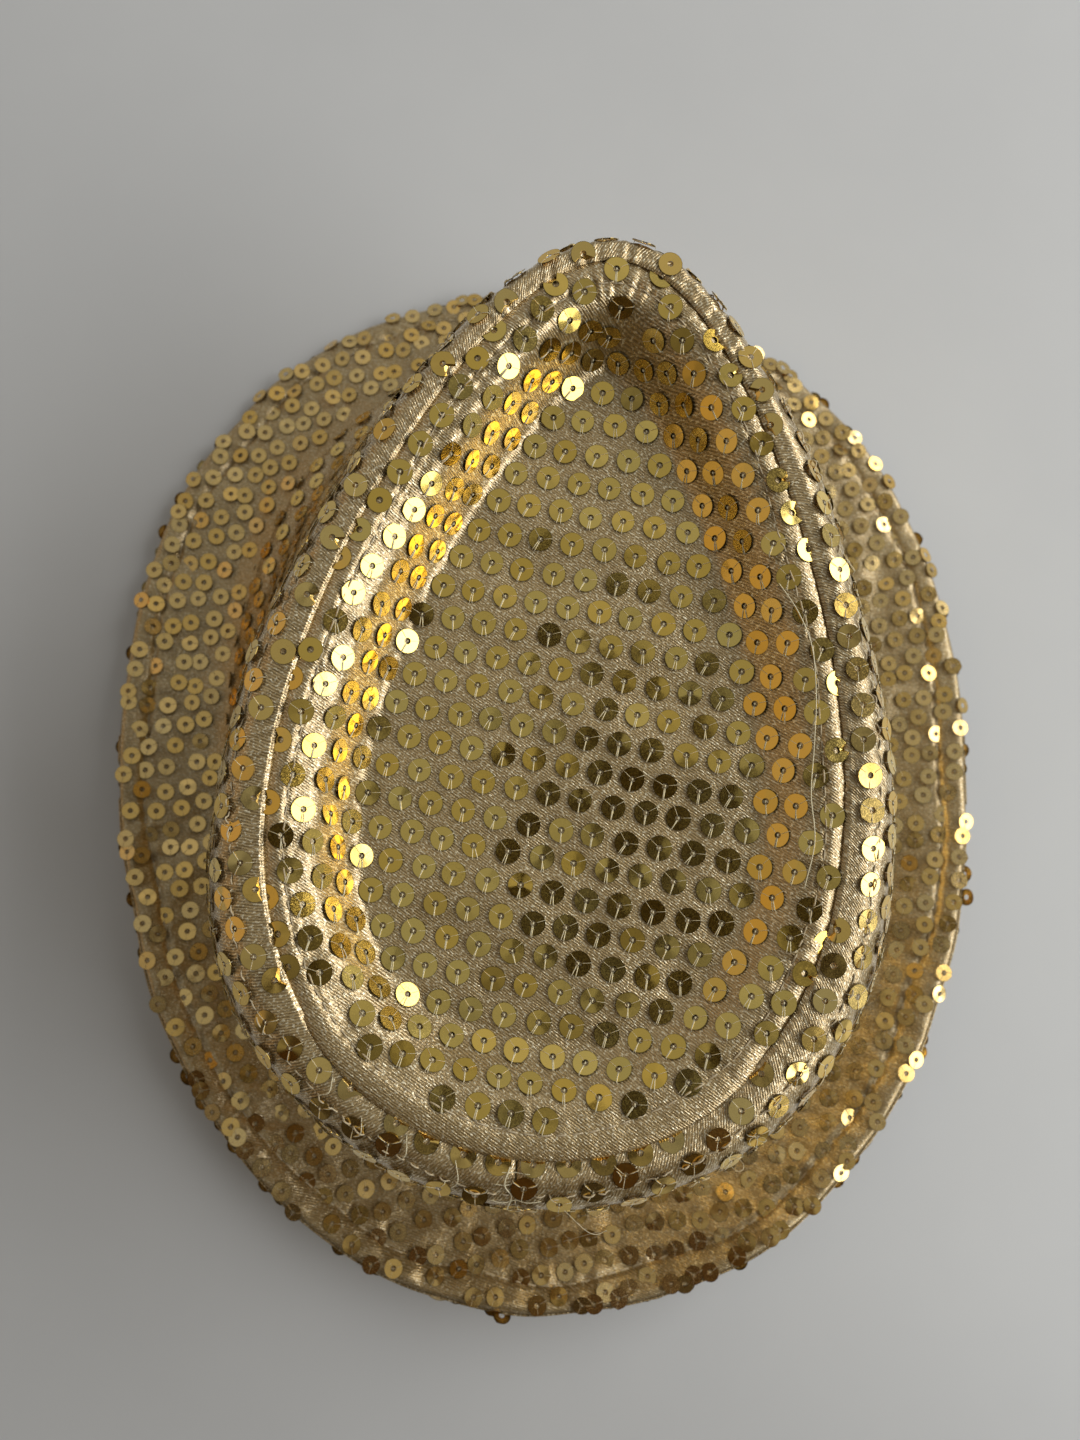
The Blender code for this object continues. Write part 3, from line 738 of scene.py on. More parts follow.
def build_side_cloth():
    """Returns its rings and normals, with three turned rows first."""
    to_middle = unit(level(SEAM_CENTRE[None] - wall[0, :, :2]))
    fold = 0.55 * MM * not_back * fade(WALL_DOWN, 0.8 * MM)
    grid = wall + wall_normals * wall_relief()[:, :, None] + to_middle[None] * fold[:, :, None]
    grid = turn_edge(grid, drops=(3.4, 2.2, 1.0))
    normals = grid_normals(grid, np.concatenate([wall_away[:1].repeat(3, axis=0), wall_away]))
    normals[:3] = edge_normals(to_middle, out=(1.0, 0.95, 0.8), lift=(0.0, 0.25, 0.6))
    turned_uv = wall_uv[:3].copy()
    turned_uv[:, :, 1] = np.array([-3, -2, -1])[:, None] * MM
    # the sheet is open at the back seam, with a narrow gap
    columns = np.arange(COLUMNS + 1) % COLUMNS
    open_grid = grid[:, columns]
    open_uv = np.concatenate([turned_uv, wall_uv])[:, columns]
    open_uv[:, -1, 0] = RING_TOTAL
    shift = unit(grid[:, 1] - grid[:, 0]) * 0.12 * MM
    open_grid[:, 0] += shift
    open_grid[:, -1] -= shift
    shell("side_cloth", open_grid, normals[:, columns], CLOTH_SHEET, satin_side,
          uv=open_uv, closed=False, replaces="side_panel")
    return grid, normals


side_grid, side_normals = build_side_cloth()
side_body = side_grid[3:]                             # without the turned rows

part = (slice(8, -5, 3), slice(None, None, 3))
shell("side_backing", wall[part] - wall_normals[part] * BACKING_DEPTH, wall_normals[part],
      BACKING_SHEET, backing, uv=wall_uv[part], replaces="side_interlining")
part = (slice(4, -3), slice(None, None, 2))
normals = wall_normals[part]
grid = wall[part] - normals * LINING_DEPTH
ripple = 0.3 * MM * Noise(41, 30 * MM)(*xyz(grid))
shell("side_lining_cloth", grid + normals * (ripple - 0.2 * MM)[:, :, None], normals,
      LINING_SHEET, lining_mat, uv=wall_uv[part], replaces="side_lining")


# ------------------------------------------------------------------- sweatband
def build_sweatband():
    """Band inside the foot of the crown; returns its rings and normals."""
    band = (wall[:, ::2] - wall_normals[:, ::2] * BAND_DEPTH)[wall[:, 0, 2] < 29 * MM]
    low_ring = band[-1].copy()
    low_ring[:, 2] = np.maximum(0.0, base_height(wall[-1, ::2, 1]) - BASE_Z)
    knee = low_ring + UPWARD * 2.0 * MM
    band = spline(np.concatenate([band[band[:, 0, 2] > 4.0 * MM], [knee, low_ring]]), 40)
    band[-1] = low_ring
    normals = grid_normals(band, level(unit(band[:, :, :2])))
    arc = run_round(band[-1])[:-1]
    down = run_down(band)
    ripple = 0.18 * MM * np.sin(arc / (9 * MM) + 2 * np.sin(arc / (31 * MM)))[None, :] \
        * fade(down, 6 * MM)
    band = band - normals * ripple[:, :, None]
    shell("sweatband_tape", band, normals, BAND_SHEET, band_mat,
          uv=np.stack([np.broadcast_to(arc[None], down.shape), down], axis=2),
          replaces="sweatband")
    # its hem is turned out flat against the underside of the brim
    outward = unit(wall_normals[-1, ::2] * np.array([1.0, 1.0, 0.0]))
    reach = np.linspace(0.25, 4.3, 7)
    hem = np.array([low_ring + outward * k * MM + UPWARD * (0.30 + 0.08 * k) * MM
                    for k in reach])
    hem_down = down[-1][None] + reach[:, None] * MM
    shell("sweatband_hem", hem, np.broadcast_to(-UPWARD, hem.shape), 0.25 * MM, band_mat,
          uv=np.stack([np.broadcast_to(arc[None], hem_down.shape), hem_down], axis=2))
    return band, normals


band, band_normals = build_sweatband()

# ------------------------------------------------------------------------ brim
crown_x, crown_y, _ = oval(ANGLES, BASE_HALF_LENGTH + 0.55 * MM, BASE_HALF_WIDTH + 0.55 * MM,
                           centre=(0, BASE_Y), power=BASE_POWER)
rim_x, rim_y, rim_along = oval(ANGLES, BRIM_HALF_LENGTH, BRIM_HALF_WIDTH, BRIM_TAPER,
                               BRIM_BULGE, power=BRIM_POWER)
crown_ring = np.stack([crown_x, crown_y, base_height(crown_y)], axis=1)
rim_ring = np.stack([rim_x, rim_y, three_point(rim_along, *BRIM_Z)], axis=1)
# rings by share of the way from the crown (0) to the rim (1)
BRIM_SHARE = np.concatenate([np.linspace(0, 0.70, 30), np.linspace(0.712, 1.0, 34)])
share = BRIM_SHARE[:, None]
brim_mid = crown_ring + (rim_ring - crown_ring) * share[:, :, None]
brim_mid[:, :, 2] = crown_ring[:, 2] + (rim_ring[:, 2] - crown_ring[:, 2]) * share ** 1.5
sway = 0.45 * MM * Noise(51, 34 * MM)(rim_x, rim_y)[None, :] * smooth((share - 0.35) / 0.65)
lift = 0.8 * MM * Noise(52, 60 * MM)(rim_x, rim_y)[None, :] * smooth((share - 0.2) / 0.8)
lift = np.where(rim_y[None, :] > 60 * MM, lift * 0.25, lift)     # calmer at the front
brim_outward = unit(level((rim_ring - crown_ring)[:, :2]))
brim_mid = brim_mid + brim_outward[None] * sway[:, :, None] * 0.6
brim_mid[:, :, 2] += lift * 0.6
brim_mid_normals = grid_normals(brim_mid, UPWARD)
BRIM_WIDTH = np.linalg.norm(rim_ring - crown_ring, axis=1)
FROM_EDGE = (1 - share) * BRIM_WIDTH[None, :]
edge_run = run_round(brim_mid[-1])
EDGE_TOTAL = edge_run[-1]
EDGE_ARC = np.broadcast_to(edge_run[None, :-1], FROM_EDGE.shape)
GROOVE_LINE = 6.5 * MM + 0.35 * MM * pucker(EDGE_ARC, EDGE_TOTAL, seed=61, size=60 * MM)
TOP, UNDER = 1.0, -1.0


def build_brim_cloth(name, sign, replaces, seed):
    """Returns its rings and normals, with two tucked rows at the crown first."""
    mid_x, mid_y = brim_mid[:, :, 0], brim_mid[:, :, 1]
    off_groove = FROM_EDGE - GROOVE_LINE
    height = STIFFENER / 2 + GAP + FABRIC - 0.62 * MM * bell(off_groove, 0.9 * MM)
    height += 0.16 * MM * bell(FROM_EDGE - 3.2 * MM, 2.2 * MM)
    height += 0.22 * MM * fade(np.abs(off_groove), 3.2 * MM) \
        * pucker(EDGE_ARC, EDGE_TOTAL, seed, size=6.0 * MM)
    height += 0.20 * MM * Noise(seed + 1, 16 * MM)(mid_x, mid_y) * smooth(share / 0.3)
    height += 0.10 * MM * Noise(seed + 2, 6 * MM)(mid_x, mid_y)
    # rounded off at the rim
    to_rim = np.clip(FROM_EDGE / (1.9 * MM), 0, 1)
    height = height * np.sqrt(np.clip(1 - (1 - to_rim) ** 2, 0, 1)) + 0.12 * MM
    if sign == TOP:
        reach = (9.0 * MM + 6.0 * MM * FRONT_LEFT)[None, :]
        rise = (1.3 * MM + 3.0 * MM * FRONT_LEFT)[None, :]
        height += rise * np.clip(1 - share * BRIM_WIDTH[None, :] / reach, 0, 1) ** 2
    grid = brim_mid + brim_mid_normals * (sign * height)[:, :, None]
    tuck = grid[:1].repeat(2, axis=0)
    tuck[:, :, 2] = brim_mid[0, :, 2] + sign * np.array([0.15, 0.75])[:, None] * MM
    grid = np.concatenate([tuck, grid])
    normals = grid_normals(grid, UPWARD * sign)
    normals[0] = -brim_outward
    shell(name, grid, normals, BRIM_SHEET, satin_brim, uv=grid[:, :, :2],
          replaces=replaces)
    return grid, normals


brims = {TOP: build_brim_cloth("brim_top_cloth", TOP, "brim_top_panel", seed=70),
         UNDER: build_brim_cloth("brim_under_cloth", UNDER, "brim_under_panel", seed=80)}

keep = (BRIM_SHARE > 0.02) & (BRIM_SHARE < 0.97)
core_normals = brim_mid_normals[keep][::2, ::3]
shell("stiffener_sheet", brim_mid[keep][::2, ::3] + core_normals * 0.3 * MM, core_normals,
      0.6 * MM, foam_mat, replaces="brim_stiffener")

# --------------------------------------------------------------------- sequins
# the two steps of the sequin lattice
STEP_A = np.array([6.585, -1.466]) * MM
STEP_B = np.array([-4.19, -5.71]) * MM


def lattice(origin, reach, turn=0.0, scale=1.0):
    """Lattice points, turned by degrees and scaled, with their two step numbers."""
    cosine, sine = math.cos(math.radians(turn)), math.sin(math.radians(turn))
    rotation = np.array([[cosine, -sine], [sine, cosine]])
    i, j = np.meshgrid(np.arange(-reach, reach + 1), np.arange(-reach, reach + 1))
    i, j = i.ravel(), j.ravel()
    points = origin + i[:, None] * (rotation @ STEP_A * scale) \
        + j[:, None] * (rotation @ STEP_B * scale)
    return points, i, j


def frames(normal, toward):
    """The directions x, along 'toward' laid on the surface, and y beside it."""
    x = unit(toward - normal * (toward * normal).sum(axis=1, keepdims=True))
    return x, np.cross(normal, x)


def disc_profile(hole, hole_rim):
    """Section of a sequin: radius share, height in thicknesses, darkening of the edge."""
    if hole_rim:
        return np.array([(hole, 0.5, 1.0), (hole + 0.06, 0.5, 0.0), (0.93, 0.5, 0.0),
                         (1.0, 0.5, 1.0), (1.0, -0.5, 1.0), (hole, -0.5, 1.0)]).T
    return np.array([(hole, 0.5, 0.0), (0.93, 0.5, 0.0), (1.0, 0.5, 1.0),
                     (1.0, -0.5, 1.0), (hole, -0.5, 0.3)]).T


def tuck(verts, side, limit, lap, drop, above=0.0):
    """Sequins caught in the seam: the part beyond it is out of sight below.

    side is 1 for sequins kept inside the seam and -1 for those kept outside it.
    """
    flat = verts.reshape(-1, 3).copy()
    near = np.flatnonzero(flat[:, 2] > above)
    inside, index = seam_nearest(flat[near, 0], flat[near, 1])
    over = np.maximum(side * (limit - lap * SEAM_BACK[index] - inside), 0.0)
    flat[near, :2] += side * SEAM_IN[index] * over[:, None]
    flat[near, 2] -= np.where(over > 0, drop + 0.3 * over, 0.0)
    return flat.reshape(verts.shape)


def spangles(name, centre, normal, toward, mat, rng, replaces, segs, tilt, dish, fold,
             radius=SPANGLE_R, hole=0.26, hole_rim=False, tuck_at=None):
    """Flat discs with a middle hole, sewn down by three threads so that each
    disc is drawn into three shallow leaves. Returns what sew() needs."""
    thick = 0.13 * MM
    count = len(centre)
    sway = np.abs(rng.normal(0.6, 0.5, count)) * tilt
    up = unit(normal + rng.normal(scale=1.0, size=normal.shape) * sway[:, None])
    x, y = frames(up, toward)
    radii = radius * rng.uniform(0.97, 1.03, count)
    rho, side, edge_dark = disc_profile(hole, hole_rim)
    rings = len(rho)
    angle = np.arange(segs) * TAU / segs
    phase = rng.normal(0.0, 0.16, count)
    off_thread = (angle[None, :] - phase[:, None] + TAU / 6) % (TAU / 3) - TAU / 6
    leaf = 1.0 - np.abs(off_thread) / (TAU / 6)      # 1 at a thread, 0 between
    depth = fold * rng.exponential(0.75, count).clip(0.05, 3.2)
    bowl = dish * rng.uniform(-0.3, 1.0, count)
    bend = rng.normal(0, 0.004, count)
    bend_at = rng.uniform(0, TAU, count)
    # on some discs one outer corner is left standing out as a small tab
    tab = np.ones((count, segs))
    has_tab = rng.random(count) < 0.45
    tab_at = rng.integers(0, segs, count)
    tab[np.arange(count)[has_tab], tab_at[has_tab]] += 0.07
    # arrays below are (disc, ring, segment)
    size = radii[:, None, None]
    reach = rho[None, :, None] * size
    reach = reach * np.where((rho > 0.9)[None, :, None], tab[:, None, :], 1.0)
    bending = np.cos(2 * (angle[None, None, :] - bend_at[:, None, None]))
    height = (bowl[:, None, None] * (reach / size) ** 2 * 0.22 * size
              - depth[:, None, None] * reach * leaf[:, None, :]
              + bend[:, None, None] * reach * bending
              + side[None, :, None] * thick)
    disc_x = reach * np.cos(angle)[None, None, :]
    disc_y = reach * np.sin(angle)[None, None, :]
    verts = (centre[:, None, None, :] + x[:, None, None, :] * disc_x[..., None]
             + y[:, None, None, :] * disc_y[..., None]
             + up[:, None, None, :] * height[..., None])
    if tuck_at:
        verts = tuck(verts, **tuck_at)
    # the rings close on themselves from the last back to the first
    quads = repeat_faces(ring_quads(rings + 1, segs) % (rings * segs), count, rings * segs)
    tone = np.repeat(rng.uniform(0, 1, count), rings * segs)
    obj = add_mesh(name, verts, quads, mat, replaces=replaces,
                   attrs={"tone": tone, "rim": np.tile(np.repeat(edge_dark, segs), count)})
    obj.data.set_sharp_from_angle(angle=math.radians(40))
    return centre, up, x, y, radii, phase


def sew(name, discs, mat, rng, radius, double=False, skip=0.0, sides=3, points=4, keep=None):
    """Threads from each hole over the edge into the cloth, and a knot in the hole.

    radius is that of the main arm, which may be double, and of the two other arms.
    """
    rise, dive = 0.16 * MM, 0.42 * MM
    if keep is not None:
        discs = [values[keep] for values in discs]
    centre, up, x, y, radii, phase = discs
    main, other = radius
    arms = [(0.0, 0.10 * MM, main), (0.0, -0.12 * MM, main * 0.85)] if double \
        else [(0.0, 0.0, main)]
    arms += [(TAU / 3, 0.0, other), (-TAU / 3, 0.0, other)]
    rho = np.append(np.linspace(0.20, 1.0, points - 1), 1.10)
    height = np.array([-0.2 * rise] + [rise] * (points - 2) + [-dive])
    parts = []
    for arm_angle, offset, thickness in arms:
        sewn = rng.random(len(centre)) >= skip
        angle = (phase + arm_angle + rng.normal(0, 0.10, len(centre)))[:, None]
        out = x * np.cos(angle) + y * np.sin(angle)
        across = -x * np.sin(angle) + y * np.cos(angle)
        paths = (centre[:, None, :]
                 + out[:, None, :] * (rho[None, :, None] * radii[:, None, None])
                 + across[:, None, :] * offset + up[:, None, :] * height[None, :, None])
        parts.append(tubes(paths[sewn], thickness, sides, up=up[sewn][:, None, :]))
    knot = centre[:, None, :] + np.stack([
        -x * 0.22 * MM, up * 0.12 * MM, x * 0.22 * MM], axis=1)
    parts.append(tubes(knot, 0.17 * MM, sides, up=y[:, None, :]))
    add_tubes(name, parts, mat)


# ----------------------------------------------------------------- tip sequins
SLOPED = 19.5 * MM                                    # width of the cloth that turns down
RIM_R = SPANGLE_R * 0.96
CLEAR_OF_SEAM = 3.4 * MM                              # discs farther in lie free


def place_tip_sequins():
    """Plan points on the cloth's own grid, foreshortened where the cloth turns down."""
    points, i, j = lattice(np.array([1.2, -5.3]) * MM, reach=34)
    points = points + np.stack([9.8e-6 * i ** 2 - 8.6e-6 * j ** 2, 1.03e-5 * j ** 2], axis=1)
    inside, index = seam_nearest(points[:, 0], points[:, 1])
    keep = inside > -14 * MM
    points, inside, index = points[keep], inside[keep], index[keep]
    outer = inside < SLOPED
    foot, inward = SEAM_POINTS[index], SEAM_IN[index]
    back_off = np.linspace(0, SLOPED, 60)
    ray = foot[:, None, :] + inward[:, None, :] * (SLOPED - back_off)[None, :, None]
    heights = tip_height(ray[:, :, 0], ray[:, :, 1])
    steps = np.sqrt(np.diff(heights, axis=1) ** 2 + (back_off[1] - back_off[0]) ** 2)
    arcs = np.concatenate([np.zeros((len(points), 1)), np.cumsum(steps, axis=1)], axis=1)
    new_inside = np.array([SLOPED - np.interp(need, arc, back_off) if need < arc[-1] else -1.0
                           for need, arc in zip(SLOPED - inside, arcs)])
    points = np.where(outer[:, None], foot + inward * new_inside[:, None], points)
    keep = np.where(outer, new_inside > 0.5 * MM, True)
    keep &= (SEAM_BACK[index] < 0.3) | (new_inside > 5.3 * MM) | ~outer
    # at the sharp front end the mapping folds, so sequins that collide are dropped
    points = points[keep]
    order = np.argsort(-seam_nearest(points[:, 0], points[:, 1])[0])
    places = np.column_stack([points, tip_height(points[:, 0], points[:, 1])])
    chosen = []
    for k in order:
        if all(np.linalg.norm(places[k] - places[c]) > 4.6 * MM for c in chosen):
            chosen.append(k)
    points = points[np.sort(chosen)]
    return points + np.random.default_rng(20260101).normal(0, 0.16 * MM, points.shape)


def tip_cloth_height(x, y):
    inside, index = seam_nearest(x, y)
    return tip_height(x, y, inside) + tip_relief(x, y, inside, index)


def tip_surface(x, y):
    """Points on the tip cloth and the normals of its plain shape."""
    step = 0.4 * MM
    slope_x = (tip_height(x + step, y) - tip_height(x - step, y)) / (2 * step)
    slope_y = (tip_height(x, y + step) - tip_height(x, y - step)) / (2 * step)
    normals = unit(np.stack([-slope_x, -slope_y, np.ones_like(slope_x)], axis=-1))
    return np.stack([x, y, tip_cloth_height(x, y)], axis=-1), normals


RIM_ANGLES = np.arange(10) * TAU / 10


def cloth_over_rim(place, normal):
    """How far the cloth stands above ten points of each disc's rim; the disc's x, y."""
    x, y = frames(normal, np.tile([1.0, 0.0, 0.0], (len(place), 1)))
    rim = place[:, None] + RIM_R * (x[:, None] * np.cos(RIM_ANGLES)[None, :, None]
                                    + y[:, None] * np.sin(RIM_ANGLES)[None, :, None])
    above = tip_cloth_height(rim[:, :, 0], rim[:, :, 1]) - rim[:, :, 2]
    return above * normal[:, None, 2], x, y


def build_tip_sequins():
    points = place_tip_sequins()
    inside, _ = seam_nearest(points[:, 0], points[:, 1])
    place, normal = tip_surface(points[:, 0], points[:, 1])
    free = inside > CLEAR_OF_SEAM
    for _ in range(2):
        # the disc leans with the average slope under it
        above, x, y = cloth_over_rim(place, normal)
        slope_x = (above * np.cos(RIM_ANGLES)).mean(axis=1) * 2 / RIM_R
        slope_y = (above * np.sin(RIM_ANGLES)).mean(axis=1) * 2 / RIM_R
        leaning = unit(normal - x * slope_x[:, None] - y * slope_y[:, None])
        normal = np.where(free[:, None], leaning, normal)
    above, _, _ = cloth_over_rim(place, normal)
    sunk = np.where(free, np.clip(above.max(axis=1), 0, 1.1 * MM), 0.0) * 0.8
    rng = np.random.default_rng(101)
    count = len(place)
    centre = place + normal * (0.30 * MM + sunk + rng.uniform(0, 0.12 * MM, count))[:, None]
    toward = np.tile([-0.28, -0.96, 0.0], (count, 1)) + rng.normal(0, 0.08, (count, 3))
    on_slope = (inside > 3.0 * MM) & (inside < 15.5 * MM)
    discs = spangles("tip_spangles", centre, normal, toward, gold_tip, rng, "tip_sequins",
                     segs=24, tilt=np.where(on_slope, 0.085, 0.030), dish=0.02, fold=0.017,
                     hole_rim=True,
                     tuck_at=dict(side=1, limit=0.25 * MM, lap=1.0 * MM, drop=0.8 * MM))
    sew("tip_spangle_threads", discs, thread_pale, rng, radius=(0.105 * MM, 0.042 * MM),
        double=True, sides=4, points=5, keep=inside > 2.6 * MM)
    return centre


# ---------------------------------------------------------------- side sequins
WALL_MEAN = WALL_DOWN[-1].mean()


def place_side_sequins():
    """Arc from the back seam and length down from the top seam of each sequin.

    The cloth is a curved strip, so that straight rows of the lattice cross the ridge.
    """
    strip_r = 312 * MM
    strip_angle = RING_TOTAL / strip_r
    origin = (strip_r + 3.4 * MM) * np.array([math.sin(0.31), math.cos(0.31)])
    points, _, _ = lattice(origin, reach=130, turn=-5.2)
    angle = np.arctan2(points[:, 0], points[:, 1])   # 0 at the front
    down = np.hypot(points[:, 0], points[:, 1]) - strip_r
    keep = (np.abs(angle) < strip_angle / 2 - 0.004) & (down > 0.9 * MM) \
        & (down < WALL_MEAN * 0.985)
    arc, down = (0.5 - angle[keep] / strip_angle) * RING_TOTAL, down[keep]
    # a row caught under the folded edge of the tip at the back
    caught = np.concatenate([3.0 * MM + 6.7 * MM * np.arange(5),
                             -3.6 * MM - 6.7 * MM * np.arange(4)]) % RING_TOTAL
    half = RING_TOTAL / 2
    gap = np.abs((arc[:, None] - caught[None] + half) % RING_TOTAL - half)
    free = ~((gap < 4.5 * MM).any(axis=1) & (down < 4.6 * MM))
    return (np.concatenate([arc[free], caught]),
            np.concatenate([down[free], np.full(len(caught), 1.55 * MM)]))


def wall_points(down, column):
    """Points and flared normals on mesh columns, at lengths scaled to each column."""
    lengths = WALL_DOWN[:, column]
    scales = lengths[-1] / WALL_MEAN
    row = np.array([np.interp(length * scale, lengths[:, k], np.arange(WALL_ROWS))
                    for k, (length, scale) in enumerate(zip(down, scales))])
    i = np.clip(np.floor(row).astype(int), 0, WALL_ROWS - 2)
    share = (row - i)[:, None]
    return tuple(values[i, column] * (1 - share) + values[i + 1, column] * share
                 for values in (side_body, flare_normals))


def build_side_sequins():
    arc, down = place_side_sequins()
    rng = np.random.default_rng(102)
    count = len(arc)
    arc = arc + rng.normal(0, 0.25 * MM, count)
    down = down + rng.normal(0, 0.22 * MM, count)
    at = np.interp(arc, RING_RUN, np.arange(COLUMNS))
    column = np.floor(at).astype(int) % COLUMNS
    share = (at - np.floor(at))[:, None]
    place_a, normal_a = wall_points(down, column)
    place_b, normal_b = wall_points(down, (column + 1) % COLUMNS)
    place = place_a * (1 - share) + place_b * share
    normal = unit(unit(normal_a) * (1 - share) + unit(normal_b) * share)
    centre = place + normal * (0.32 * MM + rng.uniform(0, 0.2 * MM, count))[:, None]
    toward = np.cross(normal, np.cross(np.array([-0.2, -0.9, -0.3]), normal))
    toward[np.linalg.norm(toward, axis=1) < 0.25] = [0.9, 0.1, 0.0]
    toward += rng.normal(0, 0.1, toward.shape)
    discs = spangles("side_spangles", centre, normal, toward, gold_side, rng, "side_sequins",
                     segs=18, tilt=0.060, dish=0.04, fold=0.035,
                     tuck_at=dict(side=-1, limit=0.10 * MM, lap=0.6 * MM, drop=0.9 * MM,
                                  above=90 * MM))
    sew("side_spangle_threads", discs, thread_pale, rng, radius=(0.085 * MM, 0.07 * MM),
        keep=down > 2.6 * MM)
    return centre


# ---------------------------------------------------------------- brim sequins
def point_tree(points):
    tree = kdtree.KDTree(len(points))
    for k, point in enumerate(points):
        tree.insert(point, k)
    tree.balance()
    return tree


def rim_sequins(points, body, rng):
    """Plan places of a few more sequins, where the cloth wraps round the rim."""
    arcs = np.cumsum(rng.uniform(4.6, 8.2, 200)) * MM
    arcs = arcs[arcs < EDGE_TOTAL - 3 * MM]
    columns = np.interp(arcs, edge_run, np.arange(COLUMNS + 1))
    insets = rng.uniform(0.2, 2.4, len(columns)) * MM
    extra = []
    for column, inset in zip(columns, insets):
        k = int(column) % COLUMNS
        row = np.interp(-inset, -FROM_EDGE[:, k], np.arange(len(BRIM_SHARE)))
        point = body[int(round(row)), k, :2]
        if np.min(np.hypot(*(points - point).T)) > 2.9 * MM:
            extra.append(point)
    return np.array(extra)


def build_brim_sequins(side, sign, seed, origin, turn, seat, tilt):
    """Sewn on with more disorder, so that sequins lap over each other.

    seat is the least height over the cloth and the random addition to it.
    """
    rng = np.random.default_rng(seed)
    points, _, _ = lattice(np.array(origin) * MM, reach=44, turn=turn, scale=0.88)
    points = points + rng.normal(0, 0.55 * MM, points.shape)
    body, body_normals = [rows[2:] for rows in brims[sign]]
    flat, flat_normals = body.reshape(-1, 3), body_normals.reshape(-1, 3)
    points = np.concatenate([points, rim_sequins(points, body, rng)])
    tree = point_tree(level(flat[:, :2]))
    place, normal = [], []
    for x, y in points:
        _, k, gap = tree.find((x, y, 0.0))
        if gap > 1.3 * MM:
            continue
        row, column = divmod(k, COLUMNS)
        near = flat[k]
        up = unit(flat_normals[k] + UPWARD * sign * 0.6)
        z = near[2] - (up[0] * (x - near[0]) + up[1] * (y - near[1])) / up[2]
        covered = 0.5 * MM + 0.72 * FLARE[column] if sign == TOP else 1.8 * MM
        from_crown = BRIM_SHARE[row] * 33 * MM
        fits = FROM_EDGE[row, column] > 0.15 * MM and from_crown > covered
        if fits and (sign == TOP or z > 1.0 * MM or from_crown > 3.0 * MM):
            place.append((x, y, z))
            normal.append(up)
    place, normal = np.array(place), np.array(normal)
    count = len(place)
    centre = place + normal * (seat[0] + rng.uniform(0, seat[1], count))[:, None]
    toward = np.tile([0.9, 0.2, 0.0], (count, 1)) + rng.normal(0, 0.25, (count, 3))
    discs = spangles(f"brim_{side}_spangles", centre, normal, toward, gold_brim, rng,
                     f"brim_{side}_sequins", segs=16, tilt=tilt, dish=0.05, fold=0.03,
                     radius=SPANGLE_R * 0.94, hole=0.31)
    sew(f"brim_{side}_spangle_threads", discs, thread_fine, rng,
        radius=(0.05 * MM, 0.045 * MM), skip=0.25)


tip_centres = build_tip_sequins()
side_centres = build_side_sequins()
build_brim_sequins("top", TOP, seed=103, origin=(2.1, 1.3), turn=21.0,
                   seat=(0.28 * MM, 0.55 * MM), tilt=0.085)
build_brim_sequins("under", UNDER, seed=104, origin=(0.4, 3.0), turn=23.0,
                   seat=(0.16 * MM, 0.16 * MM), tilt=0.05)


# -------------------------------------------------------------------- stitches
def stitch_row(name, path, normal, replaces, length, gap, radius, rise, closed=True,
               over=None):
    """Separate stitches along a densely sampled path; they rise where they cross
    sequins, whose centres are given as over."""
    dive = 0.32 * MM
    if closed:
        path = np.concatenate([path, path[:1]])
        normal = np.concatenate([normal, normal[:1]])
    run = run_down(path)
    count = int(run[-1] // (length + gap))
    pitch = run[-1] / count
    # one stitch: places along it, and heights in shares of rise or dive
    along = np.linspace(0, 1, 7)
    height = np.array([-1.0, 0.25, 0.85, 1.0, 0.85, 0.25, -1.0])
    height = np.where(height > 0, height * rise, height * dive)
    rng = np.random.default_rng(len(name) * 7 + 1)
    at = (np.arange(count)[:, None] * pitch + gap / 2
          + along[None, :] * (pitch - gap) * rng.uniform(0.92, 1.0, (count, 1)))
    points = np.stack([np.interp(at, run, path[:, k]) for k in range(3)], axis=2)
    up = unit(np.stack([np.interp(at, run, normal[:, k]) for k in range(3)], axis=2))
    side = unit(np.cross(up, np.gradient(points, axis=1)))
    slant = rng.normal(0.0, 0.06, (count, 1)) * MM
    if over is not None:
        tree = point_tree(over)
        gap_to = np.array([[tree.find(point)[2] for point in row] for row in points])
        lift = 0.74 * MM * ease((2.75 * MM - gap_to) / (0.5 * MM))
        points = points + up * lift[:, :, None]
    points = points + up * height[None, :, None] \
        + side * (slant * (along - 0.5)[None, :] * 2)[:, :, None]
    add_tubes(name, [tubes(points, radius, 6, up=up)], thread_sew, replaces)


def ring_at(line, grid, normals, measure):
    """Path and normals on a ring grid, where the measured field has the line's value."""
    path, path_normals = np.empty((2, grid.shape[1], 3))
    rows = np.arange(len(grid))
    for j, wanted in enumerate(line):
        field = measure[:, j]
        sign = 1 if field[-1] > field[0] else -1
        row = np.interp(sign * wanted, sign * field, rows)
        i = min(int(row), len(rows) - 2)
        path[j] = between(grid[:, j], i, row - i)
        path_normals[j] = between(normals[:, j], i, row - i)
    return path, unit(path_normals)


